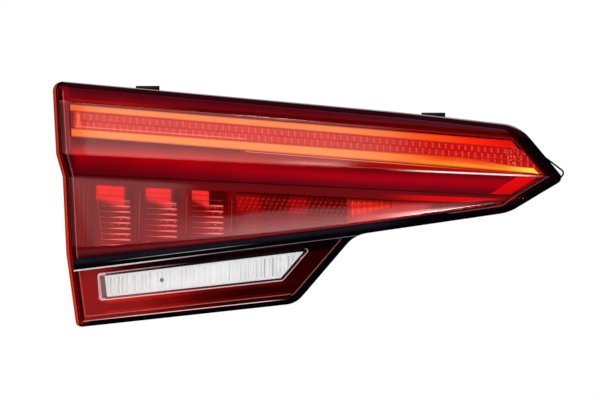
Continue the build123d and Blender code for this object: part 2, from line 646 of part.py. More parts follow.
with BuildPart() as rear_housing:
    with BuildSketch(Plane.XZ.offset(BACK_DEPTH)):
        add(outline(BODY_INSET))
    extrude(amount=WELD_DEPTH - BACK_DEPTH)
    with BuildSketch(Plane.XZ.offset(BACK_DEPTH)):
        for x, z in clip_seats:
            with Locations((x, z - BODY_INSET)):
                Rectangle(CLIP_WIDTH, 2 * BODY_INSET)
    extrude(amount=flange_rear - BACK_DEPTH)
    with BuildSketch(Plane.XZ.offset(flange_rear)):
        add(outline())
    extrude(amount=FLANGE_THICK)
    with BuildSketch(Plane.XZ.offset(WELD_DEPTH)):
        add(outline(LENS_WALL + CLEAR))
        add(outline(LENS_WALL + CLEAR + TONGUE_WALL), mode=Mode.SUBTRACT)
    extrude(amount=TONGUE_HEIGHT)
    with BuildSketch(Plane.XZ.offset(BACK_DEPTH + HOUSING_WALL)):
        add(outline(BODY_INSET + HOUSING_WALL))
    extrude(amount=WELD_DEPTH - BACK_DEPTH - HOUSING_WALL, mode=Mode.SUBTRACT)
    with BuildSketch(Plane.XZ.offset(BACK_DEPTH)):
        with Locations(*bosses):
            RegularPolygon(BOSS_R, BOSS_SIDES)
    extrude(amount=BOARD_DEPTH - BACK_DEPTH)
    with BuildSketch(Plane.XZ.offset(BOARD_DEPTH)):
        with Locations(*bosses):
            RegularPolygon(SCREW_R + SLIP, BOSS_SIDES, major_radius=False)
    extrude(amount=-PILOT_DEPTH, mode=Mode.SUBTRACT)
    with BuildSketch(Plane.XZ.offset(BACK_DEPTH)):
        add(outline(BODY_INSET + RIB_FRAME))
        add(outline(BODY_INSET + RIB_FRAME + RIB_THICK), mode=Mode.SUBTRACT)
        with BuildSketch(mode=Mode.PRIVATE) as bars:
            for x in evenly(OUTER_X + RIB_PITCH, TIP_X - RIB_PITCH, RIB_PITCH):
                with Locations((x, 0)):
                    Rectangle(RIB_THICK, 2 * TIP_X)
            add(outline(BODY_INSET + RIB_FRAME), mode=Mode.INTERSECT)
        add(bars.sketch)
        with Locations((PLUG_X, plug_z)):
            Rectangle(gasket_length + RIB_FRAME, gasket_height + RIB_FRAME, mode=Mode.SUBTRACT)
        with Locations((VENT_X, VENT_Z)):
            Circle(VENT_R + RIB_FRAME / 2, mode=Mode.SUBTRACT)
    extrude(amount=-RIB_HEIGHT)
    with BuildSketch(Plane.XZ.offset(BACK_DEPTH)):
        with Locations(*studs):
            RegularPolygon(SEAT_R, SEAT_SIDES)
        with Locations((PEG_X, PEG_Z)):
            RegularPolygon(PEG_SEAT_R, SEAT_SIDES)
    extrude(amount=-BACK_DEPTH)
    with BuildSketch(Plane.XZ):
        with Locations((PEG_X, PEG_Z)):
            Circle(PEG_R)
    extrude(amount=-PEG_LENGTH)
    with BuildSketch(Plane.XZ):
        with Locations(*studs):
            RegularPolygon(COLLAR_R + SLIP, SEAT_SIDES)
    extrude(amount=COLLAR_THICK, mode=Mode.SUBTRACT)
    with BuildSketch(Plane.XZ):
        with Locations(*studs):
            Circle(STUD_R + SLIP)
    extrude(amount=STUD_ROOT + SLIP, mode=Mode.SUBTRACT)
    with BuildSketch(Plane.XZ.offset(BACK_DEPTH)):
        with Locations((VENT_X, VENT_Z)):
            RegularPolygon(VENT_PIPE_R, SEAT_SIDES)
    extrude(amount=-VENT_PIPE)
    with BuildSketch(Plane.XZ.offset(BACK_DEPTH - VENT_PIPE)):
        with Locations((VENT_X, VENT_Z)):
            RegularPolygon(VENT_BORE_R, SEAT_SIDES)
    extrude(amount=VENT_PIPE + HOUSING_WALL, mode=Mode.SUBTRACT)
    with BuildSketch(Plane.XZ.offset(BACK_DEPTH)):
        with Locations((PLUG_X, plug_z)):
            Rectangle(PIN_PITCH * PINS, PLUG_HEIGHT / 3)
    extrude(amount=HOUSING_WALL, mode=Mode.SUBTRACT)
finish(rear_housing.part, "rear_housing")

# Threaded studs with a flush collar
with BuildPart() as mounting_studs:
    with BuildSketch(Plane.XZ.offset(STUD_ROOT)):
        with Locations(*studs):
            Circle(STUD_R)
    extrude(amount=-STUD_ROOT - STUD_LENGTH)
    with BuildSketch(Plane.XZ):
        with Locations(*studs):
            RegularPolygon(COLLAR_R, SEAT_SIDES)
    extrude(amount=COLLAR_THICK)
finish(mounting_studs.part, "mounting_studs")

# Harness connector: an open shroud on a thick floor, with a latch ramp on top
pin_places = [(PLUG_X + (i - (PINS - 1) / 2) * PIN_PITCH, plug_z) for i in range(PINS)]
with BuildPart() as connector_socket:
    with BuildSketch(Plane.XZ.offset(BACK_DEPTH)):
        with Locations((PLUG_X, plug_z)):
            RectangleRounded(PLUG_LENGTH, PLUG_HEIGHT, PLUG_WALL)
    extrude(amount=-BACK_DEPTH - PLUG_TAIL)
    with BuildSketch(Plane.XZ.offset(BACK_DEPTH - PLUG_FLOOR)):
        with Locations((PLUG_X, plug_z)):
            Rectangle(PLUG_LENGTH - 2 * PLUG_WALL, PLUG_HEIGHT - 2 * PLUG_WALL)
    extrude(amount=-BACK_DEPTH - PLUG_TAIL, mode=Mode.SUBTRACT)
    with BuildSketch(Plane.XZ.offset(BACK_DEPTH)):
        with Locations(*pin_places):
            Rectangle(PIN_SIDE + 2 * SLIP, PIN_SIDE + 2 * SLIP)
    extrude(amount=-PLUG_FLOOR, mode=Mode.SUBTRACT)
    with BuildSketch(Plane.YZ.offset(PLUG_X - PLUG_HEIGHT / 4)):
        with BuildLine():
            roof = plug_z + PLUG_HEIGHT / 2
            Polyline(
                (0, roof),
                (0, roof + PLUG_WALL),
                (PLUG_TAIL - PLUG_WALL, roof),
                close=True,
            )
        make_face()
    extrude(amount=PLUG_HEIGHT / 2)
finish(connector_socket.part, "connector_socket")

with BuildPart() as connector_pins:
    with BuildSketch(Plane.XZ.offset(BOARD_DEPTH)):
        with Locations(*pin_places):
            Rectangle(PIN_SIDE, PIN_SIDE)
    extrude(amount=-BOARD_DEPTH - PIN_TAIL)
finish(connector_pins.part, "connector_pins")

# Foam gasket that seals the harness hole
with BuildPart() as body_gasket:
    with BuildSketch(Plane.XZ.offset(BACK_DEPTH)) as gasket:
        with Locations((PLUG_X, plug_z)):
            Rectangle(gasket_length, gasket_height)
        chamfer(gasket.vertices(), GASKET_MARGIN + GASKET_WIDTH / 2)
        with BuildSketch(mode=Mode.PRIVATE) as hole:
            with Locations((PLUG_X, plug_z)):
                Rectangle(gasket_length - 2 * GASKET_WIDTH, gasket_height - 2 * GASKET_WIDTH)
            chamfer(hole.vertices(), GASKET_MARGIN)
        add(hole.sketch, mode=Mode.SUBTRACT)
    extrude(amount=-BACK_DEPTH - GASKET_PROUD)
finish(body_gasket.part, "body_gasket")

# Breather cap on its pipe
with BuildPart() as vent_cap:
    with BuildSketch(Plane.XZ.offset(BACK_DEPTH - CLEAR)):
        with Locations((VENT_X, VENT_Z)):
            RegularPolygon(VENT_R, 2 * VENT_NOTCHES)
    extrude(amount=-VENT_HEIGHT)
    with BuildSketch(Plane.XZ.offset(BACK_DEPTH)):
        with Locations((VENT_X, VENT_Z)):
            RegularPolygon(VENT_PIPE_R + SLIP, SEAT_SIDES)
    extrude(amount=-VENT_PIPE, mode=Mode.SUBTRACT)
    with BuildSketch(Plane.XZ.offset(BACK_DEPTH)):
        with Locations((VENT_X, VENT_Z)):
            with PolarLocations(VENT_R, VENT_NOTCHES):
                Rectangle(2 * VENT_CAP_WALL, VENT_NOTCH)
    extrude(amount=-VENT_PIPE, mode=Mode.SUBTRACT)
finish(vent_cap.part, "vent_cap")

# Spring clips: a foot on the housing, a riser behind the flange and a turned-back top
with BuildPart() as top_clips:
    for x, seat_z in clip_seats:
        half = CLIP_THICK / 2
        crown = roof_height(x) + CLIP_PROUD - half
        with BuildSketch(Plane.YZ.offset(x - CLIP_WIDTH / 2)):
            with BuildLine():
                FilletPolyline(
                    (-flange_rear + CLIP_LENGTH, seat_z + half),
                    (-flange_rear + half + CLEAR, seat_z + half),
                    (-flange_rear + half + CLEAR, crown),
                    (-flange_rear + CLIP_LENGTH, crown - CLIP_THICK),
                    radius=CLIP_THICK,
                )
            trace(line_width=CLIP_THICK)
        extrude(amount=CLIP_WIDTH)
finish(top_clips.part, "top_clips")

# Rubber lip behind the tip, on the rear of the flange
tip, brow = Vector(TIP_X, TIP_Z), Vector(BROW_X, BROW_Z)
along = (tip - brow).normalized()
out = Vector(-along.Y, along.X)
lip_start = tip - along * LIP_LENGTH
lip_crown = tip - along * LIP_THICK + out * LIP_RISE
with BuildSketch() as lip_region:
    with BuildLine():
        FilletPolyline(lip_start, lip_crown, tip, radius=LIP_R)
    trace(line_width=LIP_THICK)
    with BuildLine():
        foot_end = lip_start - along * LIP_FOOT
        foot_in = out * (BODY_INSET - CLEAR)
        Polyline(lip_start + along * LIP_THICK, foot_end, foot_end - foot_in, lip_start - foot_in, close=True)
    make_face()
finish(plate(lip_region.sketch, flange_rear - LIP_THICK, LIP_THICK), "tip_lip")
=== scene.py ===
"""Looks of the tailgate tail light cluster: lens, optics, trim and housing, studio light and camera.

Sizes are in millimetres in the helpers and become metres when a mesh is made. Depth is the distance
towards the viewer, along -Y, from the plane where the lamp seats on the tailgate.
"""

import math

import bpy
import numpy as np
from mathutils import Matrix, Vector


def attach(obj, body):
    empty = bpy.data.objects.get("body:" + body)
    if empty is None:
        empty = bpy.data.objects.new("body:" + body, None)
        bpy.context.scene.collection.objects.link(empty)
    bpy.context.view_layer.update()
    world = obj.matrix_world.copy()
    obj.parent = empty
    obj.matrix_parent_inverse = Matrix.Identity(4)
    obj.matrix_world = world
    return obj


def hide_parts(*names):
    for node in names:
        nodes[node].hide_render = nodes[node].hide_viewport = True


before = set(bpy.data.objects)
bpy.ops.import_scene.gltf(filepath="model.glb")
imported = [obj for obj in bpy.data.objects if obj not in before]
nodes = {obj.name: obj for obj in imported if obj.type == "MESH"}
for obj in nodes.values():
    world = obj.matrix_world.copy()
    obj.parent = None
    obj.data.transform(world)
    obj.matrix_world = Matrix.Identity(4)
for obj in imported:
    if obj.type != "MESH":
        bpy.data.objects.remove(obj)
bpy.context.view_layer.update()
MM = 0.001

# Outline corners of the front view and their rounding, in order from the upper outer corner
OUTER_X, TIP_X = -209.6, 190.5
OUTLINE = [
    (OUTER_X, 63.5, 7.0),
    (75.0, 37.5, 2500.0),
    (155.5, 28.4, 30.0),
    (TIP_X, -14.0, 5.0),
    (147.0, -40.0, 38.0),
    (26.0, -57.5, 25.0),
    (-20.0, -111.4, 19.0),
    (-190.6, -130.0, 3.5),
    (-198.6, -72.0, 6.0),
    (-201.4, -12.0, 6.0),
    (-206.6, 6.0, 6.0),
]
CORNERS = [Vector(corner[:2]) for corner in OUTLINE]
# Places in the outline of the shoulder before the tip, of the tip and of the lower lobe's heel
SHOULDER, TIP, HEEL = 2, 3, 7

# Creases of the lens front: heights at the outer end and at the tip, and the sag between them if any
EAVES, CREST, WAIST = (47.3, 16.4), (5.9, -12.5, 0.5), (-9.5, -29.0)
SILL, BAND_TOP, BAND_LOW, LEDGE = (-68.4, -23.5, 6.4), (-78.4, -26.5, 2.3), (-87.2, -38.0), (-88.4, -39.2)
# The creases from the roof to the base, with their depth and rounding
CREASES = [
    ((66.5, 29.0), 64.8, 0.0),
    (EAVES, 75.8, 2.0),
    (CREST, 84.0, 1.0),
    (WAIST, 73.0, 5.0),
    (SILL, 80.0, 0.5),
    (BAND_TOP, 79.5, 0.5),
    (BAND_LOW, 80.0, 0.9),
    (LEDGE, 75.0, 0.5),
    ((-136.0, -92.0), 71.0, 0.0),
]
# Faces that aren't flat, named by the crease that ends them, and where along x the cove grows and fades
BROW_FACE, COVE_FACE = 2, 4
BROW_BEND, COVE_END = 0.2, 0.49
COVE_GROWS, COVE_FADES, COVE_LOSS = (-130.0, -30.0), (105.0, 155.0), 0.8
# A cove leaves with a share of the straight slope, and this is how much its end slope grows by
COVE_LEAVE = 0.2
COVE_STEEP = COVE_LEAVE + 4 * (1 - COVE_LEAVE) - 1
# Creases keep a least fall between them, and their rounding takes at most a share of a face
LEAST_FALL, REACH_SHARE = 0.8, 0.45
# Towards the tip the crest gets rounder and the waist shallower, each over a stretch of x
CREST_SWELL, CREST_STRETCH = 4.0, (20.0, 110.0)
WAIST_RISE, WAIST_STRETCH = 2.6, (-30.0, 70.0)
WAIST_END, WAIST_END_STRETCH = 1.8, (65.0, 115.0)
# The lens front bows back from its middle, as seen from above
BOW_DROP, BOW_MIDDLE, BOW_REACH = 14.0, 30.0, 240.0
WELD_DEPTH, OUTER_DRAFT, EDGE_R = 24.0, 1.2, 2.6
LENS_WALL, BLACK_WALL = 2.8, 1.0
RIM_WIDTH, RIM_SHIFT, BORDER = 3.6, 2.1, 9.0
# The black band drops into the rim before the tip, and reaches into the border at the outer end
BAND_DROP, BAND_STRETCH, BAND_REACH = 14.0, (96.0, 124.0), 6.0
# Mesh of the lens: steps between outline loops, and column gaps where the outline is level or climbs.
# It is level where it rises less than LEVEL_RISE from LEVEL_REACH before a place to as far behind it
LOOP_STEP, LEVEL_GAP, STEEP_GAP = 3.0, 2.4, 0.3
LEVEL_REACH, LEVEL_RISE = 2.0, 1.6

# Inner lights: feature lines, cuts, setbacks behind the lens front, depths and pitches
GUIDE_TOP, UPPER_LOW, LOWER_TOP, GUIDE_LOW = (46.1, 13.0), (40.9, 6.8), (27.1, -2.6), (20.6, -11.4)
LOWER_NECK, NECK_STRETCH = 4.0, (105.0, 160.0)
GUIDE_START, UPPER_CUT, LOWER_CUT, CUT_SLOPE = -196.6, 149.5, 166.5, 1.21
GUIDE_ROUND, LINK_X, LINK_WIDTH = 1.6, -191.6, 2.4
# Thin threads beside the lower bar: start, end, the line that they follow and their edges above it
THREADS = [(GUIDE_START + 4.0, -60.0, LOWER_TOP, 2.0, 1.3), (-60.0, 158.0, GUIDE_LOW, -0.45, -1.25)]
GUIDE_SETBACK, PAD_SETBACK, FOG_SETBACK, REVERSE_SETBACK, CELL_SETBACK = 6.5, 8.5, 9.0, 7.0, 10.7
GUIDE_DEEP, STOP_DEEP, PANEL_DEEP, REVERSE_DEEP, CELL_WALL = 5.0, 3.6, 3.2, 3.6, 1.2
STOP_PITCH, STOP_INSET, STOP_START = 5.15, 9.6, -196.0
FOG_X, FOG_END, FOG_PITCH, FOG_ROW, FOG_STAGGER = -66.0, 20.0, 4.1, 3.1, 0.35
SIDE_X, SIDE_END, SIDE_RIBS, SIDE_ROWS = 23.0, 55.0, 7, 2
FLUTE_PITCH, FLUTE_LIFT, SECOND_PITCH, SECOND_SHARE = 3.1, 0.345, 2.1, 0.45
# Fog light cells, and the thin ribs beside them: where each crosses the foot height, and its lean
CELL_TOP, CELL_LOW, SIDE_LOW = (-16.0, -38.0), (-70.6, -29.5), (-104.5, -0.5)
CELL_STARTS, CELL_WIDTH, CELL_BORDER = (-177.0, -140.5, -104.0), 32.0, 4.0
CELL_STEP, CELL_DEEP, CELL_DISH, CELL_CLIMB = 4.35, 16.0, 5.0, 0.95
CELL_RIBS, RIB_FOOT = ((-173.5, -0.118), (-142.6, 0.03), (-105.8, 0.03), (-70.4, 0.03)), -44.0

# Reversing light window: its top lies a fixed drop below the band, its base a fixed rise above the base
WINDOW_DROP, WINDOW_RISE, WINDOW_R, WINDOW_TALL = 4.8, 18.7, 2.5, 22.0
WINDOW_OUTER, WINDOW_INNER = (-176.0, -173.5), (-7.5, -30.5)
OPTIC_RIM, OPTIC_RETURN = 2.6, 3.6
GATE_MARK = (-125.0, 0.0, -92.9)
RIB_PITCH = 3.4
OUTER_RED = (0.28, 0.03, 0.05)


def height(line, x):
    """Height at x of a feature line given by its heights at the outer end and at the tip, and its sag."""
    share = (x - OUTER_X) / (TIP_X - OUTER_X)
    sag = 4 * line[2] * share * (1 - share) if len(line) > 2 else 0.0
    return line[0] + (line[1] - line[0]) * share - sag


def at(line):
    """A feature line as a function of x."""
    return lambda x: height(line, x)


def shifted(line, rise):
    """A feature line moved up."""
    return (line[0] + rise, line[1] + rise, *line[2:])


def ramp(value, low, high):
    """Smooth step from 0 at low to 1 at high."""
    t = min(1.0, max(0.0, (value - low) / (high - low)))
    return t * t * (3 - 2 * t)


def bow(x):
    """How far the lens front lies back at x."""
    return BOW_DROP * ((x - BOW_MIDDLE) / BOW_REACH) ** 2


def cove_share(x):
    """How far the face above the sill is coved at x: flat at the outer end, deepest in the middle."""
    return ramp(x, *COVE_GROWS) * (1 - COVE_LOSS * ramp(x, *COVE_FADES))


def bent(start, end, steps, share):
    """Points between the ends of a face. A share of it is coved: it leaves level and ends steep."""
    points = []
    for i in range(1, steps):
        t = i / steps
        fall = t + share * (COVE_LEAVE * t + (1 - COVE_LEAVE) * t**4 - t)
        points.append(Vector((start.x + (end.x - start.x) * fall, start.y + (end.y - start.y) * t)))
    return points


def curve(start, corner, end, count):
    """Points of the curve that rounds a corner."""
    shares = [j / (count - 1) for j in range(count)]
    return [start * (1 - t) ** 2 + corner * 2 * t * (1 - t) + end * t * t for t in shares]


def rounded_section(x, arc_points=7, flat_steps=8):
    """Rounded section of the lens front at x: falling heights and depths, always as many points."""
    corners = []
    for line, depth, rounding in CREASES:
        z = height(line, x)
        if line == WAIST:
            depth += WAIST_RISE * ramp(x, *WAIST_STRETCH) + WAIST_END * ramp(x, *WAIST_END_STRETCH)
        corners.append(Vector((depth, min(z, corners[-1].y - LEAST_FALL) if corners else z)))
    points = [corners[0]]
    for i in range(1, len(corners) - 1):
        here, back, ahead = corners[i], corners[i - 1], corners[i + 1]
        to_back, to_ahead = (back - here), (ahead - here)
        rounding = CREASES[i][2]
        if CREASES[i][0] == CREST:
            rounding += CREST_SWELL * ramp(x, *CREST_STRETCH)
        reach = rounding / math.tan(to_back.angle(to_ahead) / 2)
        reach = min(reach, REACH_SHARE * to_back.length, REACH_SHARE * to_ahead.length)
        start = here + to_back.normalized() * reach
        end = here + to_ahead.normalized() * reach
        share = BROW_BEND if i == BROW_FACE else 0.0
        if i == COVE_FACE:
            fall, run = max(0.1, start.x - points[-1].x), points[-1].y - start.y
            share = min(cove_share(x), max(0.0, (COVE_END * run / fall - 1) / COVE_STEEP))
        steps = 3 * flat_steps if i in (BROW_FACE, COVE_FACE) else flat_steps
        points += bent(points[-1], start, steps, share)
        points += curve(start, here, end, arc_points)
    points += bent(points[-1], corners[-1], flat_steps, 0.0) + [corners[-1]]
    z = np.array([p.y for p in points])
    depth = np.array([p.x for p in points]) - bow(x)
    return z, depth


FIRST_SECTION = OUTER_X - 1.0
SECTION_TABLE = [rounded_section(FIRST_SECTION + i) for i in range(int(TIP_X - OUTER_X) + 4)]


def section(x):
    """The rounded section at x, between two sections of the table."""
    place = min(max(x - FIRST_SECTION, 0.0), len(SECTION_TABLE) - 1.001)
    i = int(place)
    t = place - i
    (z0, d0), (z1, d1) = SECTION_TABLE[i], SECTION_TABLE[i + 1]
    return z0 + (z1 - z0) * t, d0 + (d1 - d0) * t


def front_depth(x, z, setback=0.0):
    """Depth of the lens front at a point of the front view, moved back by setback."""
    zs, depths = section(x)
    return float(np.interp(z, zs[::-1], depths[::-1])) - setback


def turned(vector, angle):
    """A vector of the front view turned by an angle."""
    c, s = math.cos(angle), math.sin(angle)
    return Vector((vector.x * c - vector.y * s, vector.x * s + vector.y * c))


def moved_in(corners, inset):
    """A polygon's corners moved in by inset, the ways along its sides and their outward normals."""
    count = len(corners)
    ways = [(corners[(i + 1) % count] - corners[i]).normalized() for i in range(count)]
    normals = [Vector((-w.y, w.x)) for w in ways]
    moved = []
    for i in range(count):
        a, b = normals[i - 1], normals[i]
        moved.append(corners[i] - (a + b) * inset / (1 + a.dot(b)))
    return moved, ways, normals


def outline_loop(inset, arc_points=9, spacing=1.4):
    """Points round the outline moved in by inset, and their outward normals, as many for every inset."""
    count = len(OUTLINE)
    moved, ways, normals = moved_in(CORNERS, inset)
    arcs = []
    for i in range(count):
        before, after = ways[i - 1], ways[i]
        turn = before.x * after.y - before.y * after.x
        side = 1 if turn > 0 else -1
        radius = max(OUTLINE[i][2] + side * inset, 0.2)
        half = math.atan2(abs(turn), before.dot(after)) / 2
        start = moved[i] - before * radius * math.tan(half)
        centre = start + normals[i - 1] * radius * side
        arc = []
        for j in range(arc_points):
            angle = 2 * half * side * j / (arc_points - 1)
            arc.append((centre + turned(start - centre, angle), turned(normals[i - 1], angle)))
        arcs.append(arc)
    points, outward = [], []
    for i in range(count):
        points += [p for p, _ in arcs[i]]
        outward += [n for _, n in arcs[i]]
        following = (i + 1) % count
        steps = max(2, int((CORNERS[following] - CORNERS[i]).length / spacing))
        first, last = arcs[i][-1][0], arcs[following][0][0]
        for j in range(1, steps):
            points.append(first.lerp(last, j / steps))
            outward.append(normals[i])
    return points, outward


def chains(points):
    """Splits a closed loop into its upper and lower chain as functions of x, and gives its ends."""
    x = np.array([p.x for p in points])
    z = np.array([p.y for p in points])
    left, right = int(x.argmin()), int(x.argmax())
    order = [(left + i) % len(points) for i in range(len(points))]
    split = order.index(right)
    one, two = order[: split + 1], order[split:] + [left]
    if z[one].mean() < z[two].mean():
        one, two = two, one
    parts = []
    for part in (one, two):
        rank = np.argsort(x[part], kind="stable")
        parts.append((x[part][rank], z[part][rank]))
    (ux, uz), (lx, lz) = parts
    return lambda v: float(np.interp(v, ux, uz)), lambda v: float(np.interp(v, lx, lz)), x[left], x[right]


class Build:
    """Gathers points and faces of one mesh, in millimetres, with named numbers on the points."""

    def __init__(self, *attributes):
        self.points, self.faces, self.tags = [], [], []
        self.values = {name: [] for name in attributes}

    def point(self, x, depth, z, **values):
        self.points.append((x, -depth, z))
        for name in self.values:
            self.values[name].append(values.get(name, 0.0))
        return len(self.points) - 1

    def face(self, corners, tag=0):
        """Adds a face whose corners run clockwise as the viewer sees them."""
        self.faces.append(tuple(reversed(corners)))
        self.tags.append(tag)

    def grid(self, rows):
        """Adds faces between rows of points, which hold equally many."""
        for a, b in zip(rows, rows[1:]):
            for i in range(len(a) - 1):
                self.face((a[i], b[i], b[i + 1], a[i + 1]))


def merged(points, faces, tags, values, digits=3):
    """Joins points that lie on each other."""
    seen, index, kept = {}, [], []
    for i, p in enumerate(points):
        key = tuple(round(c, digits) for c in p)
        if key not in seen:
            seen[key] = len(kept)
            kept.append(i)
        index.append(seen[key])
    new_faces, new_tags = [], []
    for face, tag in zip(faces, tags):
        f = [index[c] for c in face]
        f = [c for i, c in enumerate(f) if c != f[i - 1]]
        if len(set(f)) > 2:
            new_faces.append(tuple(f))
            new_tags.append(tag)
    kept_values = {name: [numbers[i] for i in kept] for name, numbers in values.items()}
    return [points[i] for i in kept], new_faces, new_tags, kept_values


def walled(points, faces, tags, values, wall, way=None, edge_tag=None, inner_tag=0):
    """Closes a sheet into a shell of the given wall, behind the sheet or along one way.

    Faces round the open edge take edge_tag. They are left out where it is None. Inner faces of the
    first material take inner_tag."""
    p = np.array(points)
    normals = np.zeros_like(p)
    for size in (3, 4):
        corners = np.array([f for f in faces if len(f) == size])
        if len(corners):
            one, two = p[corners[:, 2]] - p[corners[:, 0]], p[corners[:, -1]] - p[corners[:, 1]]
            for i in range(size):
                np.add.at(normals, corners[:, i], np.cross(one, two))
    if way is None:
        lengths = np.linalg.norm(normals, axis=1, keepdims=True)
        lengths[lengths == 0] = 1
        inner = p - normals / lengths * wall
    else:
        inner = p + np.array(way) * wall
    count = len(p)
    all_faces = list(faces) + [tuple(c + count for c in reversed(f)) for f in faces]
    all_tags = list(tags) + [tag or inner_tag for tag in tags]
    if edge_tag is not None:
        edges = {(c, f[(i + 1) % len(f)]) for f in faces for i, c in enumerate(f)}
        rim = sorted((a, b) for a, b in edges if (b, a) not in edges)
        all_faces += [(b, a, a + count, b + count) for a, b in rim]
        all_tags += [edge_tag] * len(rim)
    all_points = [tuple(v) for v in np.vstack([p, inner])]
    return all_points, all_faces, all_tags, {name: numbers + numbers for name, numbers in values.items()}


def piece(name, build, materials, node, slot, wall=None, way=None, sharp=35.0, edge_tag=0, inner_tag=0):
    """Makes an object of a build, closes it if a wall is given, and lets it stand for a CAD node."""
    points, faces, tags, values = merged(build.points, build.faces, build.tags, build.values)
    if wall:
        points, faces, tags, values = walled(points, faces, tags, values, wall, way, edge_tag, inner_tag)
    mesh = bpy.data.meshes.new(name)
    mesh.from_pydata([tuple(c * MM for c in p) for p in points], [], faces)
    for key, numbers in values.items():
        layer = mesh.attributes.new(key, "FLOAT", "POINT")
        layer.data.foreach_set("value", np.array(numbers, np.float32))
    for material in materials:
        mesh.materials.append(material)
    mesh.polygons.foreach_set("material_index", np.array(tags, np.int32))
    mesh.polygons.foreach_set("use_smooth", np.ones(len(faces), bool))
    mesh.validate()
    mesh.update()
    mesh.set_sharp_from_angle(angle=math.radians(sharp))
    made = bpy.data.objects.new(name, mesh)
    bpy.context.scene.collection.objects.link(made)
    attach(made, "root")
    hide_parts(node)


class Shade:
    """The nodes of a material, or of the world, with short calls for the kinds used here."""

    def __init__(self, name, kind="Material"):
        made = bpy.data.worlds if kind == "World" else bpy.data.materials
        self.owner = made.new(name)
        self.owner.use_nodes = True
        self.tree = self.owner.node_tree
        self.tree.nodes.clear()
        self.out = self.add("Output" + kind)

    def add(self, kind, inputs=None, **settings):
        node = self.tree.nodes.new("ShaderNode" + kind)
        for key, value in settings.items():
            setattr(node, key, value)
        for key, value in (inputs or {}).items():
            self.put(node.inputs[key], value)
        return node

    def put(self, socket, value):
        if isinstance(value, bpy.types.NodeSocket):
            self.tree.links.new(value, socket)
        elif isinstance(value, tuple) and len(value) == 3 and socket.type == "RGBA":
            socket.default_value = (*value, 1.0)
        else:
            socket.default_value = value

    def math(self, operation, a, b=0.0, c=0.0):
        return self.add("Math", {0: a, 1: b, 2: c}, operation=operation).outputs[0]

    def times(self, *factors):
        product = factors[0]
        for factor in factors[1:]:
            product = self.math("MULTIPLY", product, factor)
        return product

    def plus(self, a, b):
        return self.math("ADD", a, b)

    def minus(self, a, b):
        return self.math("SUBTRACT", a, b)

    def over(self, a, b):
        return self.math("DIVIDE", a, b)

    def scaled(self, value, factor, offset):
        return self.math("MULTIPLY_ADD", value, factor, offset)

    def larger(self, a, b):
        return self.math("MAXIMUM", a, b)

    def capped(self, value):
        return self.math("MINIMUM", value, 1.0)

    def size(self, value):
        return self.math("ABSOLUTE", value)

    def smooth(self, value, low, high):
        """Smooth step from 0 at low to 1 at high."""
        inputs = {"Value": value, "From Min": low, "From Max": high}
        return self.add("MapRange", inputs, interpolation_type="SMOOTHSTEP").outputs["Result"]

    def between(self, value, low, high, soft):
        """1 between low and high, with soft ends."""
        up = self.smooth(value, low - soft, low + soft)
        down = self.smooth(value, high + soft, high - soft)
        return self.times(up, down)

    def spread(self, value, low, high):
        """Maps 0..1 to low..high."""
        return self.add("MapRange", {"Value": value, "To Min": low, "To Max": high}).outputs["Result"]

    def mix(self, factor, a, b):
        node = self.add("Mix", data_type="RGBA")
        self.put(node.inputs[0], factor)
        self.put(node.inputs[6], a)
        self.put(node.inputs[7], b)
        return node.outputs[2]

    def fade(self, value, low, high, a, b):
        """Colour a at low, which turns smoothly into b at high."""
        return self.mix(self.smooth(value, low, high), a, b)

    def along(self, value, stops):
        """Colour that runs through (place, colour) stops."""
        colour = stops[0][1]
        for (low, _), (high, after) in zip(stops, stops[1:]):
            colour = self.fade(value, low, high, colour, after)
        return colour

    def attribute(self, name):
        return self.add("Attribute", attribute_name=name).outputs["Fac"]

    def place(self):
        """Object coordinates in millimetres: the vector, x, y, z."""
        where = self.add("TexCoord").outputs["Object"]
        scaled = self.add("VectorMath", {0: where, 3: 1 / MM}, operation="SCALE")
        parts = self.add("SeparateXYZ", {0: scaled.outputs[0]})
        return scaled.outputs[0], parts.outputs[0], parts.outputs[1], parts.outputs[2]

    def line(self, x, feature):
        """Height of a feature line at x."""
        length = TIP_X - OUTER_X
        slope = (feature[1] - feature[0]) / length
        straight = self.scaled(x, slope, feature[0] - slope * OUTER_X)
        if len(feature) < 3:
            return straight
        share = self.scaled(x, 1 / length, -OUTER_X / length)
        return self.minus(straight, self.times(share, self.minus(1.0, share), 4 * feature[2]))

    def above(self, x, z, feature):
        """Height of a place above a feature line."""
        return self.minus(z, self.line(x, feature))

    def below(self, x, z, feature):
        """Depth of a place below a feature line."""
        return self.minus(self.line(x, feature), z)

    def noise(self, vector, scale, detail=3.0, roughness=0.55):
        inputs = {"Vector": vector, "Scale": scale, "Detail": detail, "Roughness": roughness}
        return self.add("TexNoise", inputs).outputs["Fac"]

    def bump(self, value, strength, distance):
        inputs = {"Height": value, "Strength": strength, "Distance": distance}
        return self.add("Bump", inputs).outputs["Normal"]

    def lit(self, colour, roughness, glow, **more):
        """Plastic that shows its colour by the light on it and by a painted glow that stands in for light.
        """
        inputs = {"Base Color": colour, "Roughness": roughness, "Emission Color": colour}
        inputs.update({"Emission Strength": glow, **more})
        return self.finish(self.add("BsdfPrincipled", inputs))

    def blend(self, factor, a, b):
        """A mix of two shaders."""
        return self.add("MixShader", {0: factor, 1: a.outputs[0], 2: b.outputs[0]})

    def finish(self, shader):
        """Shows a shader on the surface and gives the finished material or world."""
        self.tree.links.new(shader.outputs[0], self.out.inputs["Surface"])
        return self.owner


PLASTIC_IOR = 1.52


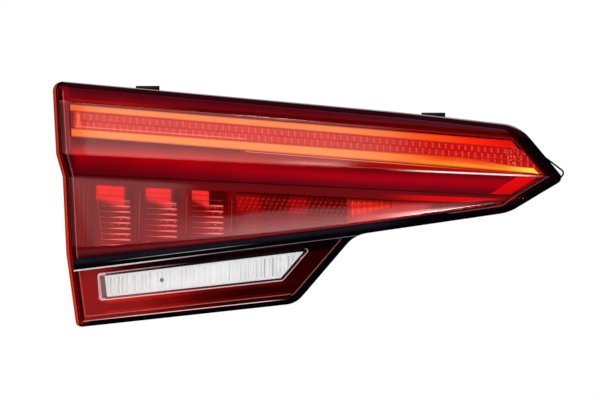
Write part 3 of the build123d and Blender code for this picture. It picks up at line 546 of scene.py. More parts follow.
def see_through(name, tint, edge_shade, line_colour, crest_highlight, ior=PLASTIC_IOR):
    """Tinted clear plastic: it passes tinted light and mirrors by Fresnel.

    It is darker along parts of its border, and pale lines follow the border and the crest. The inner
    face of a wall takes the inverse index, since light passes the wall unbent."""
    s = Shade(name)
    where, x, _, z = s.place()
    drift = s.noise(where, 0.035, 2.0)
    tint_here = s.fade(drift, 0.3, 0.7, tint, tuple(c * 0.96 for c in tint))
    # Painted shade: where the point number dark is set, the tint turns to the darker edge shade
    passed = s.add("BsdfTransparent", {"Color": s.mix(s.attribute("dark"), tint_here, edge_shade)})
    ripple = s.bump(s.noise(where, 0.5, 2.0), 0.015, 0.0004)
    mirror = s.add("BsdfGlossy", {"Color": (1, 1, 1), "Roughness": 0.03, "Normal": ripple})
    fresnel = s.add("Fresnel", {"IOR": ior, "Normal": ripple})
    body = s.blend(fresnel.outputs[0], passed, mirror)
    # Painted highlights: pale lines along the border and the bottom rim's inner edge, from point numbers
    first = s.times(s.between(s.attribute("line"), -0.25, 0.25, 0.25), s.attribute("mark"))
    second = s.times(s.between(s.attribute("second"), -0.2, 0.2, 0.2), s.attribute("second_mark"))
    # Painted highlight along the crest: an uneven pale line, only between two places along x
    below_crest = s.below(x, z, CREST)
    core = s.times(s.between(below_crest, -0.65, 0.45, 0.45), s.spread(s.noise(where, 0.05), 0.7, 1.15))
    ends = s.times(s.smooth(x, 45.0, 95.0), s.smooth(x, 176.0, 150.0))
    crest = s.times(core, ends, crest_highlight)
    white = s.capped(s.plus(second, crest))
    share = s.capped(s.plus(first, white))
    # The painted highlights glow a little
    shown = s.mix(white, line_colour, (1.0, 0.86, 0.88))
    inputs = {"Base Color": shown, "Roughness": 0.25, "Emission Color": shown, "Emission Strength": 0.4}
    pale = s.add("BsdfPrincipled", inputs)
    return s.finish(s.blend(share, body, pale))


def moulded(name, colour, roughness, grain, metallic=0.0, spread=0.12, shine=0.5):
    """Moulded plastic, rubber or metal with uneven colour, fine grain and slightly uneven gloss."""
    s = Shade(name)
    where = s.place()[0]
    fine = s.noise(where, 2.2, 3.0)
    darker = tuple(c * (1 - spread) for c in colour)
    lighter = tuple(min(1.0, c * (1 + spread)) for c in colour)
    inputs = {
        "Base Color": s.mix(s.noise(where, 0.06, 4.0), darker, lighter),
        "Roughness": s.spread(fine, roughness * 0.85, min(1.0, roughness * 1.15)),
        "Normal": s.bump(fine, grain, 0.0004),
        "Metallic": metallic,
        "Specular IOR Level": shine,
    }
    return s.finish(s.add("BsdfPrincipled", inputs))


def black_shot_material():
    """Gloss black lens shot: a trace of red along the roof, painted highlights at the band's lower edge."""
    s = Shade("lens_black")
    where, x, _, z = s.place()
    above_eaves = s.above(x, z, EAVES)
    above_band_low = s.above(x, z, BAND_LOW)
    drift = s.noise(where, 0.05, 3.0)
    share = s.over(above_band_low, s.minus(s.line(x, BAND_TOP), s.line(x, BAND_LOW)))
    # Painted reflection: the band's upper part is a little paler, except near the tip
    upper = s.times(s.between(share, 0.55, 1.0, 0.25), s.smooth(x, 75.0, 35.0), s.spread(drift, 0.4, 1.4))
    plain = s.mix(upper, (0.0012, 0.0012, 0.0022), (0.012, 0.010, 0.017))
    colour = s.fade(above_eaves, -2.0, 4.0, plain, (0.026, 0.0015, 0.004))
    uneven = s.spread(s.noise(where, 0.16, 3.0), 0.55, 1.25)
    # Painted highlights: a pale line at the band's lower edge, and a thinner one above it at the outer end
    low_edge = s.spread(s.smooth(x, -170.0, -60.0), -0.95, -0.25)
    rising = s.smooth(s.minus(above_band_low, low_edge), -0.2, 0.2)
    fade = s.spread(s.smooth(x, -150.0, -70.0), 1.0, 0.22)
    band_edge_highlight = s.times(rising, s.smooth(above_band_low, 0.35, 0.0), s.smooth(x, 48.0, 25.0), uneven, fade)
    thin = s.times(s.between(above_band_low, 3.3, 3.7, 0.2), s.between(x, -150.0, -70.0, 25.0), uneven)
    # The painted highlights glow a little
    pale = s.capped(s.scaled(thin, 0.35, band_edge_highlight))
    inputs = {
        "Base Color": s.mix(pale, colour, (0.80, 0.76, 0.78)),
        "Roughness": 0.07,
        "Normal": s.bump(s.noise(where, 2.2, 3.0), 0.02, 0.0004),
        "Coat Weight": 0.3,
        "Emission Color": (0.80, 0.76, 0.78),
        "Emission Strength": s.times(pale, 0.4),
    }
    return s.finish(s.add("BsdfPrincipled", inputs))


def window_base(x):
    """Height of the reversing light window's base at x, parallel to the outline from its heel to its toe."""
    (toe_x, toe_z, _), (heel_x, heel_z, _) = OUTLINE[HEEL - 1], OUTLINE[HEEL]
    return heel_z + (toe_z - heel_z) * (x - heel_x) / (toe_x - heel_x) + WINDOW_RISE


def tip_shade(s, x, z, colour):
    """Darkens a colour along the two edges that meet at the tip."""
    corners, _, normals = moved_in(CORNERS, 0.0)
    for i, shade in ((SHOULDER, (0.035, 0.004, 0.008)), (TIP, (0.060, 0.008, 0.018))):
        out = s.scaled(z, normals[i].y, -normals[i].dot(corners[i]))
        out = s.scaled(x, normals[i].x, out)
        colour = s.fade(out, -11.0, -9.0, colour, shade)
    return colour


def trim_brow(s, x, z):
    """Red behind the roof and the brow: dark over the guide, with a lit line there at the outer end."""
    above_guide = s.above(x, z, GUIDE_TOP)
    below_crest = s.below(x, z, CREST)
    left = s.fade(below_crest, -12.0, 0.0, (0.14, 0.006, 0.008), (0.60, 0.012, 0.012))
    right = s.fade(below_crest, -8.0, 0.0, (0.26, 0.05, 0.04), (0.36, 0.012, 0.012))
    colour = s.fade(x, -120.0, 20.0, left, right)
    colour = s.mix(s.between(above_guide, 2.4, 5.9, 0.3), colour, (0.10, 0.002, 0.003))
    lit_line = s.times(s.between(above_guide, 2.5, 4.9, 0.35), s.smooth(x, -85.0, -165.0))
    colour = s.mix(lit_line, colour, (0.42, 0.02, 0.02))
    # Painted reflection of the soft box: the red behind the roof turns bluer towards the tip
    roof = s.fade(x, -40.0, 110.0, (0.165, 0.022, 0.060), (0.140, 0.070, 0.130))
    return s.fade(s.above(x, z, EAVES), 2.8, 3.6, colour, roof)


def trim_undercut(s, x, z, colour):
    """Red of the undercut: brightest under the crest at the outer end, and halfway down near the tip."""
    below_crest = s.below(x, z, CREST)
    share = s.over(below_crest, s.minus(s.line(x, CREST), s.line(x, WAIST)))
    from_end = s.smooth(x, -165.0, -95.0)
    high = s.mix(from_end, (0.37, 0.004, 0.035), (0.50, 0.004, 0.040))
    low = s.mix(from_end, (0.12, 0.012, 0.045), (0.19, 0.012, 0.060))
    left = s.fade(share, 0.0, 1.0, high, low)
    stops = [(0.0, (0.16, 0.01, 0.03)), (0.45, (0.50, 0.008, 0.085)), (1.0, (0.17, 0.03, 0.08))]
    undercut = s.fade(x, -120.0, 40.0, left, s.along(share, stops))
    undercut = s.fade(x, -189.0, -198.0, undercut, (0.07, 0.004, 0.030))
    return s.fade(below_crest, -0.3, 0.3, colour, undercut)


def trim_face(s, x, z, colour):
    """Red round the lower lights: dim at the waist, ribbed at the outer end and pink by the side optic."""
    below_waist = s.below(x, z, WAIST)
    strip = s.fade(x, 40.0, 130.0, (0.19, 0.045, 0.07), (0.13, 0.05, 0.07))
    colour = s.fade(below_waist, -0.2, 0.3, colour, strip)
    # Painted shade: a dark line along the waist crease
    colour = s.mix(s.between(below_waist, -0.7, 0.5, 0.3), colour, (0.07, 0.008, 0.02))
    rib = s.math("SINE", s.times(x, 2 * math.pi / RIB_PITCH))
    ribbed = s.times(s.smooth(rib, 0.2, 0.9), s.between(x, -195.0, -182.0, 2.0))
    face = s.mix(ribbed, (0.20, 0.02, 0.028), (0.30, 0.035, 0.04))
    colour = s.fade(below_waist, 5.5, 8.0, colour, face)
    # Painted reflection of the soft box: pink by the side optic
    pink_haze = s.times(s.smooth(x, 4.0, 34.0), s.smooth(x, 92.0, 78.0), s.smooth(below_waist, 8.0, 12.0))
    return s.mix(pink_haze, colour, (0.64, 0.20, 0.20))


def trim_sill(s, x, z, colour):
    """The strip between the sill and the band: dark edges and a paler middle, which fades at the tip."""
    below_sill = s.below(x, z, SILL)
    share = s.over(below_sill, s.minus(s.line(x, SILL), s.line(x, BAND_TOP)))
    # Painted reflection of the soft box: the paler middle, which fades at the tip
    middle = s.fade(x, -160.0, -90.0, (0.17, 0.10, 0.14), (0.25, 0.11, 0.18))
    middle = s.fade(x, 45.0, 85.0, middle, (0.05, 0.01, 0.02))
    stops = [(0.12, (0.14, 0.03, 0.05)), (0.42, middle), (1.0, (0.02, 0.02, 0.04))]
    return s.fade(below_sill, -0.6, 0.0, colour, s.along(share, stops))


def trim_lit_facets(s, x, z, colour):
    """Bright red painted light at the tip: a slanted facet on the undercut, a thin wedge below the waist."""
    lean = s.scaled(z, -1.49, s.minus(x, 1.49 * 26.0))
    lit_facet = s.times(s.between(lean, 132.5, 148.5, 0.7), s.between(z, -25.4, -12.4, 0.8))
    tilted = s.scaled(x, 0.041, s.plus(z, -0.041 * 77.0))
    taper = s.times(s.smooth(x, 104.0, 146.0), 3.4)
    lit_wedge = s.times(s.smooth(s.minus(tilted, taper), -31.1, -30.1), s.smooth(tilted, -26.1, -27.1))
    lit_wedge = s.times(lit_wedge, s.smooth(x, 42.0, 92.0), s.smooth(x, 144.0, 134.0))
    return s.mix(s.larger(lit_facet, lit_wedge), colour, (1.02, 0.03, 0.05))


def trim_lobe(s, x, z, colour):
    """Red of the lower lobe: it darkens inwards, with warm lines under the window and black over it."""
    below_ledge = s.below(x, z, LEDGE)
    # The pinker red at the outer end holds a painted reflection of the soft box
    lobe_stops = [
        (-185.0, (0.35, 0.10, 0.12)),
        (-150.0, (0.33, 0.09, 0.10)),
        (-122.0, (0.24, 0.03, 0.035)),
        (-92.0, (0.10, 0.006, 0.008)),
        (-58.0, (0.036, 0.002, 0.003)),
    ]
    warm_stops = [
        (-165.0, (0.62, 0.12, 0.11)),
        (-122.0, (0.46, 0.04, 0.03)),
        (-85.0, (0.15, 0.01, 0.01)),
        (-40.0, (0.10, 0.006, 0.008)),
    ]
    base_slope = window_base(1.0) - window_base(0.0)
    below_window = s.minus(s.scaled(x, base_slope, window_base(0.0)), z)
    under = s.larger(s.between(below_window, -0.5, 2.6, 0.8), s.between(below_window, 8.4, 10.6, 0.7))
    under = s.times(under, s.smooth(x, -171.0, -166.0), s.smooth(x, -18.0, -34.0))
    lobe = s.mix(under, s.along(x, lobe_stops), s.along(x, warm_stops))
    # Painted shadow under the band: black over the window, darker inwards
    shadow_over_window = s.between(below_ledge, -0.5, WINDOW_DROP + OPTIC_RIM - 0.4, 0.4)
    lobe = s.mix(s.times(shadow_over_window, s.smooth(x, -182.0, -150.0)), lobe, (0.05, 0.008, 0.012))
    lobe = s.mix(s.times(shadow_over_window, s.smooth(x, -160.0, -120.0)), lobe, (0.006, 0.003, 0.004))
    inside = s.times(s.between(below_window, -30.0, -1.0, 0.5), s.smooth(below_ledge, 3.0, 4.0))
    lobe = s.mix(s.times(inside, s.between(x, -174.6, -169.0, 0.5)), lobe, (0.72, 0.50, 0.54))
    return s.fade(below_ledge, -0.4, 0.4, colour, lobe)


def trim_outer(s, x, z, colour):
    """Even red beside the border of the outer end, and near black right at it."""
    edge_x = OUTER_X
    for (x0, z0, _), (x1, z1, _) in zip([OUTLINE[0]] + OUTLINE[:HEEL:-1], OUTLINE[:HEEL - 1:-1]):
        part = s.add("MapRange", {"Value": z, "From Min": z0, "From Max": z1, "To Max": x1 - x0})
        edge_x = s.plus(part.outputs["Result"], edge_x)
    inset = s.minus(x, edge_x)
    on_brow = s.smooth(s.below(x, z, CREST), 1.0, -1.0)
    on_faces = s.larger(on_brow, s.between(s.below(x, z, WAIST), 3.0, 70.0, 3.0))
    outer = s.times(s.between(inset, 6.5, 11.5, 1.0), on_faces, s.smooth(s.below(x, z, SILL), 0.0, -1.5))
    colour = s.mix(outer, colour, OUTER_RED)
    # Painted shadow of the rim: near black right at the border
    return s.fade(inset, 7.2, 5.4, colour, (0.08, 0.010, 0.024))


def trim_material():
    """Dark red trim. Each face of the lens has its own red behind it, with lit edges next to the lights."""
    s = Shade("trim_dark_red")
    where, x, _, z = s.place()
    # The trim's reds hold painted light: soft-box reflections, light from the bars and painted shadows
    colour = trim_brow(s, x, z)
    for zone in (trim_undercut, trim_face, trim_sill, trim_lit_facets, trim_lobe, trim_outer, tip_shade):
        colour = zone(s, x, z, colour)
    return s.lit(colour, 0.38, 0.5, Normal=s.bump(s.noise(where, 1.6, 3.0), 0.12, 0.0003))


def guide_material():
    """Amber light guide: each bar glows from warm edges to a bright core and changes hue at its ends."""
    s = Shade("guide_amber")
    where, x, _, _ = s.place()
    across, lower, thread = s.attribute("across"), s.attribute("lower"), s.attribute("thread")
    core = s.smooth(s.size(s.scaled(across, 2.0, -1.0)), 1.0, 0.5)
    upper_stops = [
        (-205.0, (0.93, 0.55, 0.0)),
        (-165.0, (1.05, 1.45, 0.42)),
        (20.0, (1.05, 1.35, 0.32)),
        (95.0, (1.0, 0.42, 0.04)),
        (120.0, (0.98, 0.12, 0.03)),
        (146.0, (0.86, 0.04, 0.03)),
    ]
    lower_stops = [
        (-205.0, (0.98, 0.80, 0.05)),
        (-165.0, (1.05, 1.65, 0.40)),
        (20.0, (1.05, 1.65, 0.40)),
        (100.0, (1.0, 1.0, 0.10)),
        (140.0, (1.02, 1.9, 0.10)),
        (166.0, (1.10, 4.2, 0.40)),
    ]
    low_edge = s.fade(across, 0.25, 0.85, (0.95, 0.35, 0.06), (1.0, 1.9, 0.18))
    low_colour = s.mix(s.between(x, 80.0, 140.0, 20.0), s.along(x, lower_stops), low_edge)
    colour = s.mix(lower, s.along(x, upper_stops), low_colour)
    redder = s.times(s.smooth(x, 50.0, 110.0), s.minus(1.0, lower))
    side = s.mix(redder, (0.52, 0.26, 0.05), (0.62, 0.05, 0.03))
    colour = s.mix(core, side, colour)
    thread_stops = [(-60.0, (0.90, 1.1, 0.75)), (60.0, (0.95, 1.2, 0.35)), (125.0, (0.50, 0.15, 0.03))]
    colour = s.mix(thread, colour, s.along(x, thread_stops))
    strength = s.spread(s.noise(where, 0.05, 2.0), 0.86, 1.04)
    inputs = {
        "Base Color": (0.30, 0.03, 0.005),
        "Roughness": 0.2,
        "Emission Color": colour,
        "Emission Strength": strength,
    }
    return s.finish(s.add("BsdfPrincipled", inputs))


def stop_material():
    """Stop optic: pads with a bright tick on each side and dark gaps, redder and with glints at the tip."""
    s = Shade("optic_red")
    where, x, _, z = s.place()
    u, v = s.attribute("pad_u"), s.attribute("pad_v")
    # Painted highlight: a bright tick on each side of a pad, also flecked over the pads by noise
    tick_highlight = (1.0, 0.75, 0.68)
    curve = s.times(s.size(s.minus(v, 0.5)), 0.16)
    from_side = s.minus(0.5, s.size(s.minus(u, 0.5)))
    mark = s.times(s.smooth(s.minus(from_side, curve), 0.12, 0.05), s.between(v, 0.16, 0.84, 0.06))
    speck = s.noise(where, 0.35, 3.0, 0.7)
    pad = s.fade(x, 20.0, 110.0, (0.62, 0.20, 0.18), (0.58, 0.030, 0.04))
    pad = s.mix(s.spread(speck, -0.3, 0.35), pad, tick_highlight)
    colour = s.mix(s.between(v, 0.09, 0.91, 0.07), (0.44, 0.06, 0.055), pad)
    colour = s.mix(s.times(mark, s.smooth(speck, 0.15, 0.45)), colour, tick_highlight)
    colour = s.mix(s.smooth(x, LINK_X - 1.0, LINK_X - 2.8), colour, OUTER_RED)
    colour = tip_shade(s, x, z, colour)
    # Painted glints near the tip
    sharp = s.smooth(s.noise(where, 0.55, 2.0, 0.6), 0.60, 0.68)
    colour = s.mix(s.times(sharp, s.between(x, 146.0, 156.0, 2.5)), colour, (1.3, 2.2, 1.6))
    return s.lit(colour, 0.2, 0.5)


def pad_material(name, pad, tick_highlight, gap, glow, zones=(), slant=0.0):
    """Optic of small pads, each with a bright tick, which can slant, and a dark gap around it.

    Zones are brighter: middle, reach and colour."""
    s = Shade(name)
    where, x, _, z = s.place()
    u, v = s.attribute("pad_u"), s.attribute("pad_v")
    inside = s.times(s.between(u, 0.06, 0.94, 0.06), s.between(v, 0.07, 0.93, 0.06))
    lean = s.scaled(v, slant, u)
    low, high = 0.20 + slant * 0.5, 0.42 + slant * 0.5
    # Painted highlight: a bright tick on each pad, which can slant
    mark = s.times(s.between(lean, low, high, 0.10), s.between(v, 0.34, 0.70, 0.12))
    speck = s.noise(where, 0.35, 3.0, 0.7)
    body = s.mix(s.spread(speck, -0.3, 0.35), pad, tick_highlight)
    for middle, reach, colour in zones:
        body = s.mix(s.smooth(s.size(s.minus(x, middle)), reach, reach * 0.4), body, colour)
    colour = s.mix(inside, gap, body)
    colour = s.mix(s.times(mark, s.smooth(speck, 0.15, 0.45)), colour, tick_highlight)
    below_top = s.below(x, z, CELL_TOP)
    # Painted shadow of the frame above the panel, along its top
    colour = s.mix(s.times(s.smooth(below_top, 4.5, 0.5), 0.85), colour, (0.05, 0.003, 0.006))
    colour = s.mix(s.times(s.smooth(below_top, 11.5, 17.0), 0.85), colour, (0.25, 0.025, 0.040))
    return s.lit(colour, 0.2, glow)


def reflector_material():
    """Red metallised reflector: a bright patch high in each cell, bright step edges, thin pale ribs."""
    s = Shade("reflector_red")
    _, x, _, z = s.place()
    u, v, step = s.attribute("cell_u"), s.attribute("cell_v"), s.attribute("step")
    cell = s.attribute("in_cell")
    taper = s.spread(s.smooth(s.minus(u, s.times(v, 0.45)), 0.05, 0.45), 0.35, 1.0)
    thin = s.minus(0.78, s.times(s.smooth(u, 0.3, 0.75), 0.22))
    # Painted highlights on the step edges
    band = s.times(s.smooth(s.minus(step, thin), -0.06, 0.04), s.smooth(step, 0.90, 0.82))
    edge = s.times(band, taper, s.between(u, 0.12, 0.86, 0.04), s.smooth(v, 0.82, 0.66), cell)
    second, third = (s.smooth(x, start - 2.5, start - 1.5) for start in CELL_STARTS[1:])
    left_end = s.times(second, 0.08)
    right_end = s.minus(0.76, s.times(third, 0.22))
    reach = s.over(s.minus(u, left_end), s.minus(right_end, left_end))
    curve = s.scaled(s.math("POWER", s.larger(reach, 0.0), 1.4), -0.18, 0.80)
    streak = s.noise(s.add("CombineXYZ", {0: x, 1: 0.0, 2: s.times(z, 0.25)}).outputs[0], 0.30, 3.0)
    # Painted reflection: a bright patch high in each cell, broken at each step
    patch = s.times(s.smooth(s.minus(v, curve), -0.10, 0.04), s.between(reach, 0.05, 0.96, 0.05), cell)
    patch_at_steps = s.spread(s.between(step, 0.82, 1.0, 0.06), 1.0, 0.45)
    patch = s.times(patch, s.smooth(v, 1.0, 0.96), s.spread(streak, 0.5, 1.3), patch_at_steps)
    patch = s.capped(patch)
    floor = s.fade(v, 0.0, 0.8, (0.33, 0.020, 0.035), (0.22, 0.010, 0.020))
    colour = s.mix(cell, (0.23, 0.014, 0.030), floor)
    # Painted shadow beside each patch
    shadow_beside = s.times(s.smooth(reach, 1.0, 1.1), s.smooth(u, 1.0, 0.9), s.smooth(v, 0.5, 0.75), cell)
    shadow_beside = s.times(shadow_beside, s.scaled(third, 0.25, s.scaled(second, 0.15, 0.25)))
    colour = s.mix(shadow_beside, colour, (0.04, 0.004, 0.010))
    colour = s.mix(patch, colour, s.mix(third, (0.98, 0.055, 0.045), (0.95, 0.22, 0.19)))
    colour = s.mix(edge, colour, (1.0, 0.85, 0.75))
    ribs = 0.0
    for foot, lean in CELL_RIBS:
        away = s.minus(s.minus(x, foot), s.scaled(z, lean, -lean * RIB_FOOT))
        ribs = s.plus(s.between(away, -0.3, 0.3, 0.25), ribs)
    share = s.over(s.above(x, z, CELL_LOW), s.minus(s.line(x, CELL_TOP), s.line(x, CELL_LOW)))
    ribs = s.times(ribs, s.between(share, 0.05, 0.86, 0.05), 0.5)
    colour = s.mix(s.capped(ribs), colour, (0.80, 0.40, 0.40))
    # The painted reflection and highlights glow
    lit = s.larger(patch, edge)
    return s.lit(colour, 0.3, s.scaled(lit, 0.35, 0.45), Metallic=0.2)


def flute_material():
    """White fluted optic: uneven pale flutes with grey shade between them and a small gate mark."""
    s = Shade("optic_clear")
    _, x, _, z = s.place()
    streak = s.add("CombineXYZ", {0: x, 1: 0.0, 2: s.times(z, 0.06)}).outputs[0]
    uneven = s.noise(streak, 0.35, 4.0, 0.7)
    dusk = s.scaled(s.smooth(x, -95.0, -25.0), 0.6, 0.35)
    dusk = s.scaled(s.smooth(x, -115.0, -145.0), 0.4, dusk)
    shade = s.times(s.smooth(s.attribute("flute"), 0.85, 0.1), s.smooth(uneven, 0.38, 0.62), dusk)
    edge = s.smooth(s.attribute("edge"), 2.2, 1.2)
    colour = s.mix(shade, (0.93, 0.94, 0.94), (0.36, 0.37, 0.38))
    colour = s.mix(edge, colour, (0.97, 0.98, 0.99))
    flat = s.add("CombineXYZ", {0: x, 1: 0.0, 2: z}).outputs[0]
    gate = s.add("VectorMath", {0: flat, 1: GATE_MARK}, operation="DISTANCE").outputs["Value"]
    colour = s.fade(gate, 1.9, 1.4, colour, (0.20, 0.21, 0.23))
    return s.lit(colour, 0.2, 0.50)


def skirt_material():
    """Red skirt of the lens at the outer end: light piped to the edge makes it glow orange-red."""
    s = Shade("lens_red_edge")
    where, _, y, z = s.place()
    drift = s.noise(where, 0.05, 3.0)
    upper = s.fade(drift, 0.35, 0.65, (0.42, 0.045, 0.022), (0.58, 0.040, 0.018))
    lower = s.fade(drift, 0.35, 0.65, (0.70, 0.040, 0.008), (0.85, 0.035, 0.006))
    tone = s.between(y, -58.0, -34.0, 12.0)
    colour = s.mix(tone, (0.24, 0.018, 0.008), s.fade(z, 10.0, -70.0, upper, lower))
    return s.lit(colour, 0.15, 0.55)


# Looks of the lens: tint, painted edge shade, painted highlight colour and crest highlight strength
RED_LOOK = {
    "tint": (0.985, 0.44, 0.43),
    "edge_shade": (0.45, 0.10, 0.12),
    "line_colour": (0.78, 0.36, 0.38),
    "crest_highlight": 1.0,
}
CLEAR_LOOK = {
    "tint": (0.985, 0.98, 0.98),
    "edge_shade": (0.9, 0.85, 0.85),
    "line_colour": (0.90, 0.66, 0.68),
    "crest_highlight": 0.0,
}
red = see_through("lens_red", **RED_LOOK)
red_inside = see_through("lens_red_inside", **RED_LOOK, ior=1 / PLASTIC_IOR)
clear = see_through("lens_clear", **CLEAR_LOOK)
clear_inside = see_through("lens_clear_inside", **CLEAR_LOOK, ior=1 / PLASTIC_IOR)
black = black_shot_material()
matt_black = moulded("lens_black_edge", (0.004, 0.004, 0.005), 0.9, 0.05)
skirt = skirt_material()


def rim_width(outward):
    """Width of the black rim: wider on the sides that face the tip."""
    return RIM_WIDTH + RIM_SHIFT * max(0.0, outward.x)


def border_marks(point, outward):
    """What follows the border at an outline point: pale lines, as (inset, strength), and the dark reach."""
    # Pale lines here are painted highlights, and the dark reach is painted shade
    no_line = (0.0, 0.0)
    if outward.x < -0.7:
        return [(6.4, 0.22), no_line], 5.5
    if outward.y > 0.3:
        return [no_line, no_line], 8.6 * ramp(outward.x, 0.3, 0.7)
    if point.y < -60.0 and outward.x < 0.45:
        # The white line is a painted highlight along the bottom rim's inner edge
        white = 0.85 * ramp(point.x, -25.0, -45.0) * (0.5 + 0.5 * ramp(point.x, -185.0, -150.0))
        return [(7.8, 0.24), (rim_width(outward) + 0.45, white)], 0.0
    if point.y < -52.0 and outward.x > 0.4:
        return [(6.2, 0.20), no_line], 0.0
    reach = 6.1 + 2.3 * ramp(outward.x, 0.2, 0.5)
    return [(reach, 0.14 * ramp(point.x, 80.0, 110.0)), no_line], reach * ramp(point.x, 70.0, 100.0)


def border_x(z):
    """The line BORDER in from the outer end, where the black shot stops."""
    left = OUTLINE[HEEL:] + OUTLINE[:1]
    return float(np.interp(z, [p[1] for p in left], [p[0] for p in left])) + BORDER


def band_top_at(x):
    """Top of the black band, which runs out into the rim before the tip."""
    return height(BAND_TOP, x) - BAND_DROP * ramp(x, *BAND_STRETCH)


def in_band(x, z):
    """Whether a point of the front view lies on the black band."""
    return height(LEDGE, x) <= z <= band_top_at(x)


RED, BLACK, CLEAR = range(3)
# Point numbers: line, mark, second and second_mark place painted highlights, dark places painted shade
lens = {kind: Build("line", "mark", "second", "second_mark", "dark") for kind in (RED, BLACK, CLEAR)}
outline_loops = [outline_loop(LOOP_STEP * i) for i in range(4)]


def inset_point(j, inset):
    """Point j of the outline moved in by inset, between two kept loops."""
    low = min(2, int(inset / LOOP_STEP))
    one, two = outline_loops[low][0][j], outline_loops[low + 1][0][j]
    return one.lerp(two, inset / LOOP_STEP - low)


def lens_ring():
    """The skirt and the rounded border of the lens, as strips along the outline. Gives the inner loop."""
    points, outward = outline_loops[0]
    count = len(points)
    skirt_shares = (0.0, 0.5, 1.0)
    edge_insets = (0.12, 0.45, 1.0, 1.7, EDGE_R)
    rim_shares = (0.5, 1.0, 1.2, 1.4, 1.6, 1.8, 2.0)
    loops = [[] for _ in skirt_shares + edge_insets + rim_shares]
    for j in range(count):
        p, n = points[j], outward[j]
        rim = rim_width(n)
        draft = OUTER_DRAFT * ramp(-n.x, 0.5, 0.9)
        top = front_depth(p.x, p.y) - EDGE_R
        column = []
        for share in skirt_shares:
            q = inset_point(j, draft * share)
            column.append((q.x, WELD_DEPTH + (top - WELD_DEPTH) * share, q.y, 0.0))
        insets = list(edge_insets)
        insets += [EDGE_R + (rim - EDGE_R) * share for share in rim_shares if share <= 1.0]
        insets += [rim + (BORDER - rim) * (share - 1.0) for share in rim_shares if share > 1.0]
        for e in insets:
            q = inset_point(j, e + draft * (1 - e / BORDER))
            gap = max(0.0, EDGE_R - e)
            drop = EDGE_R - math.sqrt(EDGE_R**2 - gap**2)
            column.append((q.x, front_depth(q.x, q.y) - drop, q.y, e))
        ((line, mark), (second, second_mark)), reach = border_marks(p, n)
        for loop, (x, depth, z, e) in zip(loops, column):
            values = {"line": e - line, "mark": mark, "second": e - second, "second_mark": second_mark}
            # Painted shade near the outline's edge and over the dark reach, as the point number dark
            values["dark"] = max(ramp(e, 3.0, 1.2), ramp(e, reach, reach - 1.6) if reach > 0 else 0.0)
            loop.append((x, depth, z, e - rim, values))
    for k in range(len(loops) - 1):
        a, b = loops[k], loops[k + 1]
        for j in range(count):
            i = (j + 1) % count
            corners = (a[j], a[i], b[i], b[j])
            x, z = (sum(c[axis] for c in corners) / 4 for axis in (0, 2))
            banded = in_band(x, z) and x > border_x(z) - BAND_REACH
            rimmed = sum(c[3] for c in corners) < 0 and x > border_x(z)
            kind = BLACK if banded or rimmed else RED
            made = [lens[kind].point(*c[:3], **c[4]) for c in corners]
            lens[kind].face(made, 1 if kind == RED and k < len(skirt_shares) - 1 else 0)
    return [Vector((p[0], p[2])) for p in loops[-1]]


def lens_patch(kind, columns, top, low, line=None):
    """A patch of the lens front between two heights given at each column."""
    rows = []
    for x in columns:
        upper, lower = top(x), low(x)
        if upper <= lower:
            upper = lower = (upper + lower) / 2
        zs, depths = section(x)
        row = []
        for z in np.clip(zs, lower, upper):
            values = line(x, z) if line else {"line": BORDER, "second": BORDER}
            row.append(lens[kind].point(x, float(np.interp(z, zs[::-1], depths[::-1])), z, **values))
        rows.append(row)
    lens[kind].grid(rows)


def spaced(values, gap=0.02):
    """Sorted values without those that nearly repeat the one before."""
    kept = []
    for v in sorted(values):
        if not kept or v - kept[-1] > gap:
            kept.append(v)
    return kept


def window_loop(shrink=0.0, outer_shrink=0.0, arc_points=6):
    """The reversing light's window: its corners, moved in and rounded. The outer end can move in further."""
    top = shifted(BAND_LOW, -WINDOW_DROP)
    (outer_top, outer_low), (inner_top, inner_low) = WINDOW_OUTER, WINDOW_INNER
    outer_top, outer_low = outer_top + outer_shrink, outer_low + outer_shrink
    corners = [
        Vector((outer_top, height(top, outer_top))),
        Vector((inner_top, height(top, inner_top))),
        Vector((inner_low, window_base(inner_low))),
        Vector((outer_low, window_base(outer_low))),
    ]
    moved, ways, _ = moved_in(corners, shrink)
    points = []
    for i, corner in enumerate(moved):
        before, after = ways[i - 1], ways[i]
        reach = max(0.4, WINDOW_R - shrink) * math.tan(before.angle(after) / 2)
        points += curve(corner - before * reach, corner, corner + after * reach, arc_points)
    return points


inner_loop = lens_ring()
upper_chain, lower_chain, _, loop_right = chains(inner_loop)
window_top, window_low, window_left, window_right = chains(window_loop())


def kept_inside(line):
    """A line, which gives a height at x, kept between the chains of the ring's inner loop."""
    return lambda x: max(lower_chain(x), min(upper_chain(x), line(x)))


def window_line(x, z):
    """Distance to the pale line of painted highlight that runs inside the window's border."""
    lean = (WINDOW_INNER[0] - WINDOW_INNER[1]) / WINDOW_TALL
    inner = WINDOW_INNER[1] + (z - window_base(WINDOW_INNER[1])) * lean
    low = min(x - window_left, z - window_low(x))
    side = (inner - x) / math.hypot(1.0, lean)
    over = window_top(x) - z
    near = min(low, side, over)
    mark = 0.62 if near == low else 0.35 if near == side else 0.42 * ramp(x, -100.0, -150.0)
    return {"line": near - 0.55, "mark": mark, "second": BORDER}


def is_level(x):
    """Whether both chains of the ring's inner loop run nearly level at x."""
    rises = [chain(x + LEVEL_REACH) - chain(x - LEVEL_REACH) for chain in (upper_chain, lower_chain)]
    return all(abs(rise) < LEVEL_RISE for rise in rises)


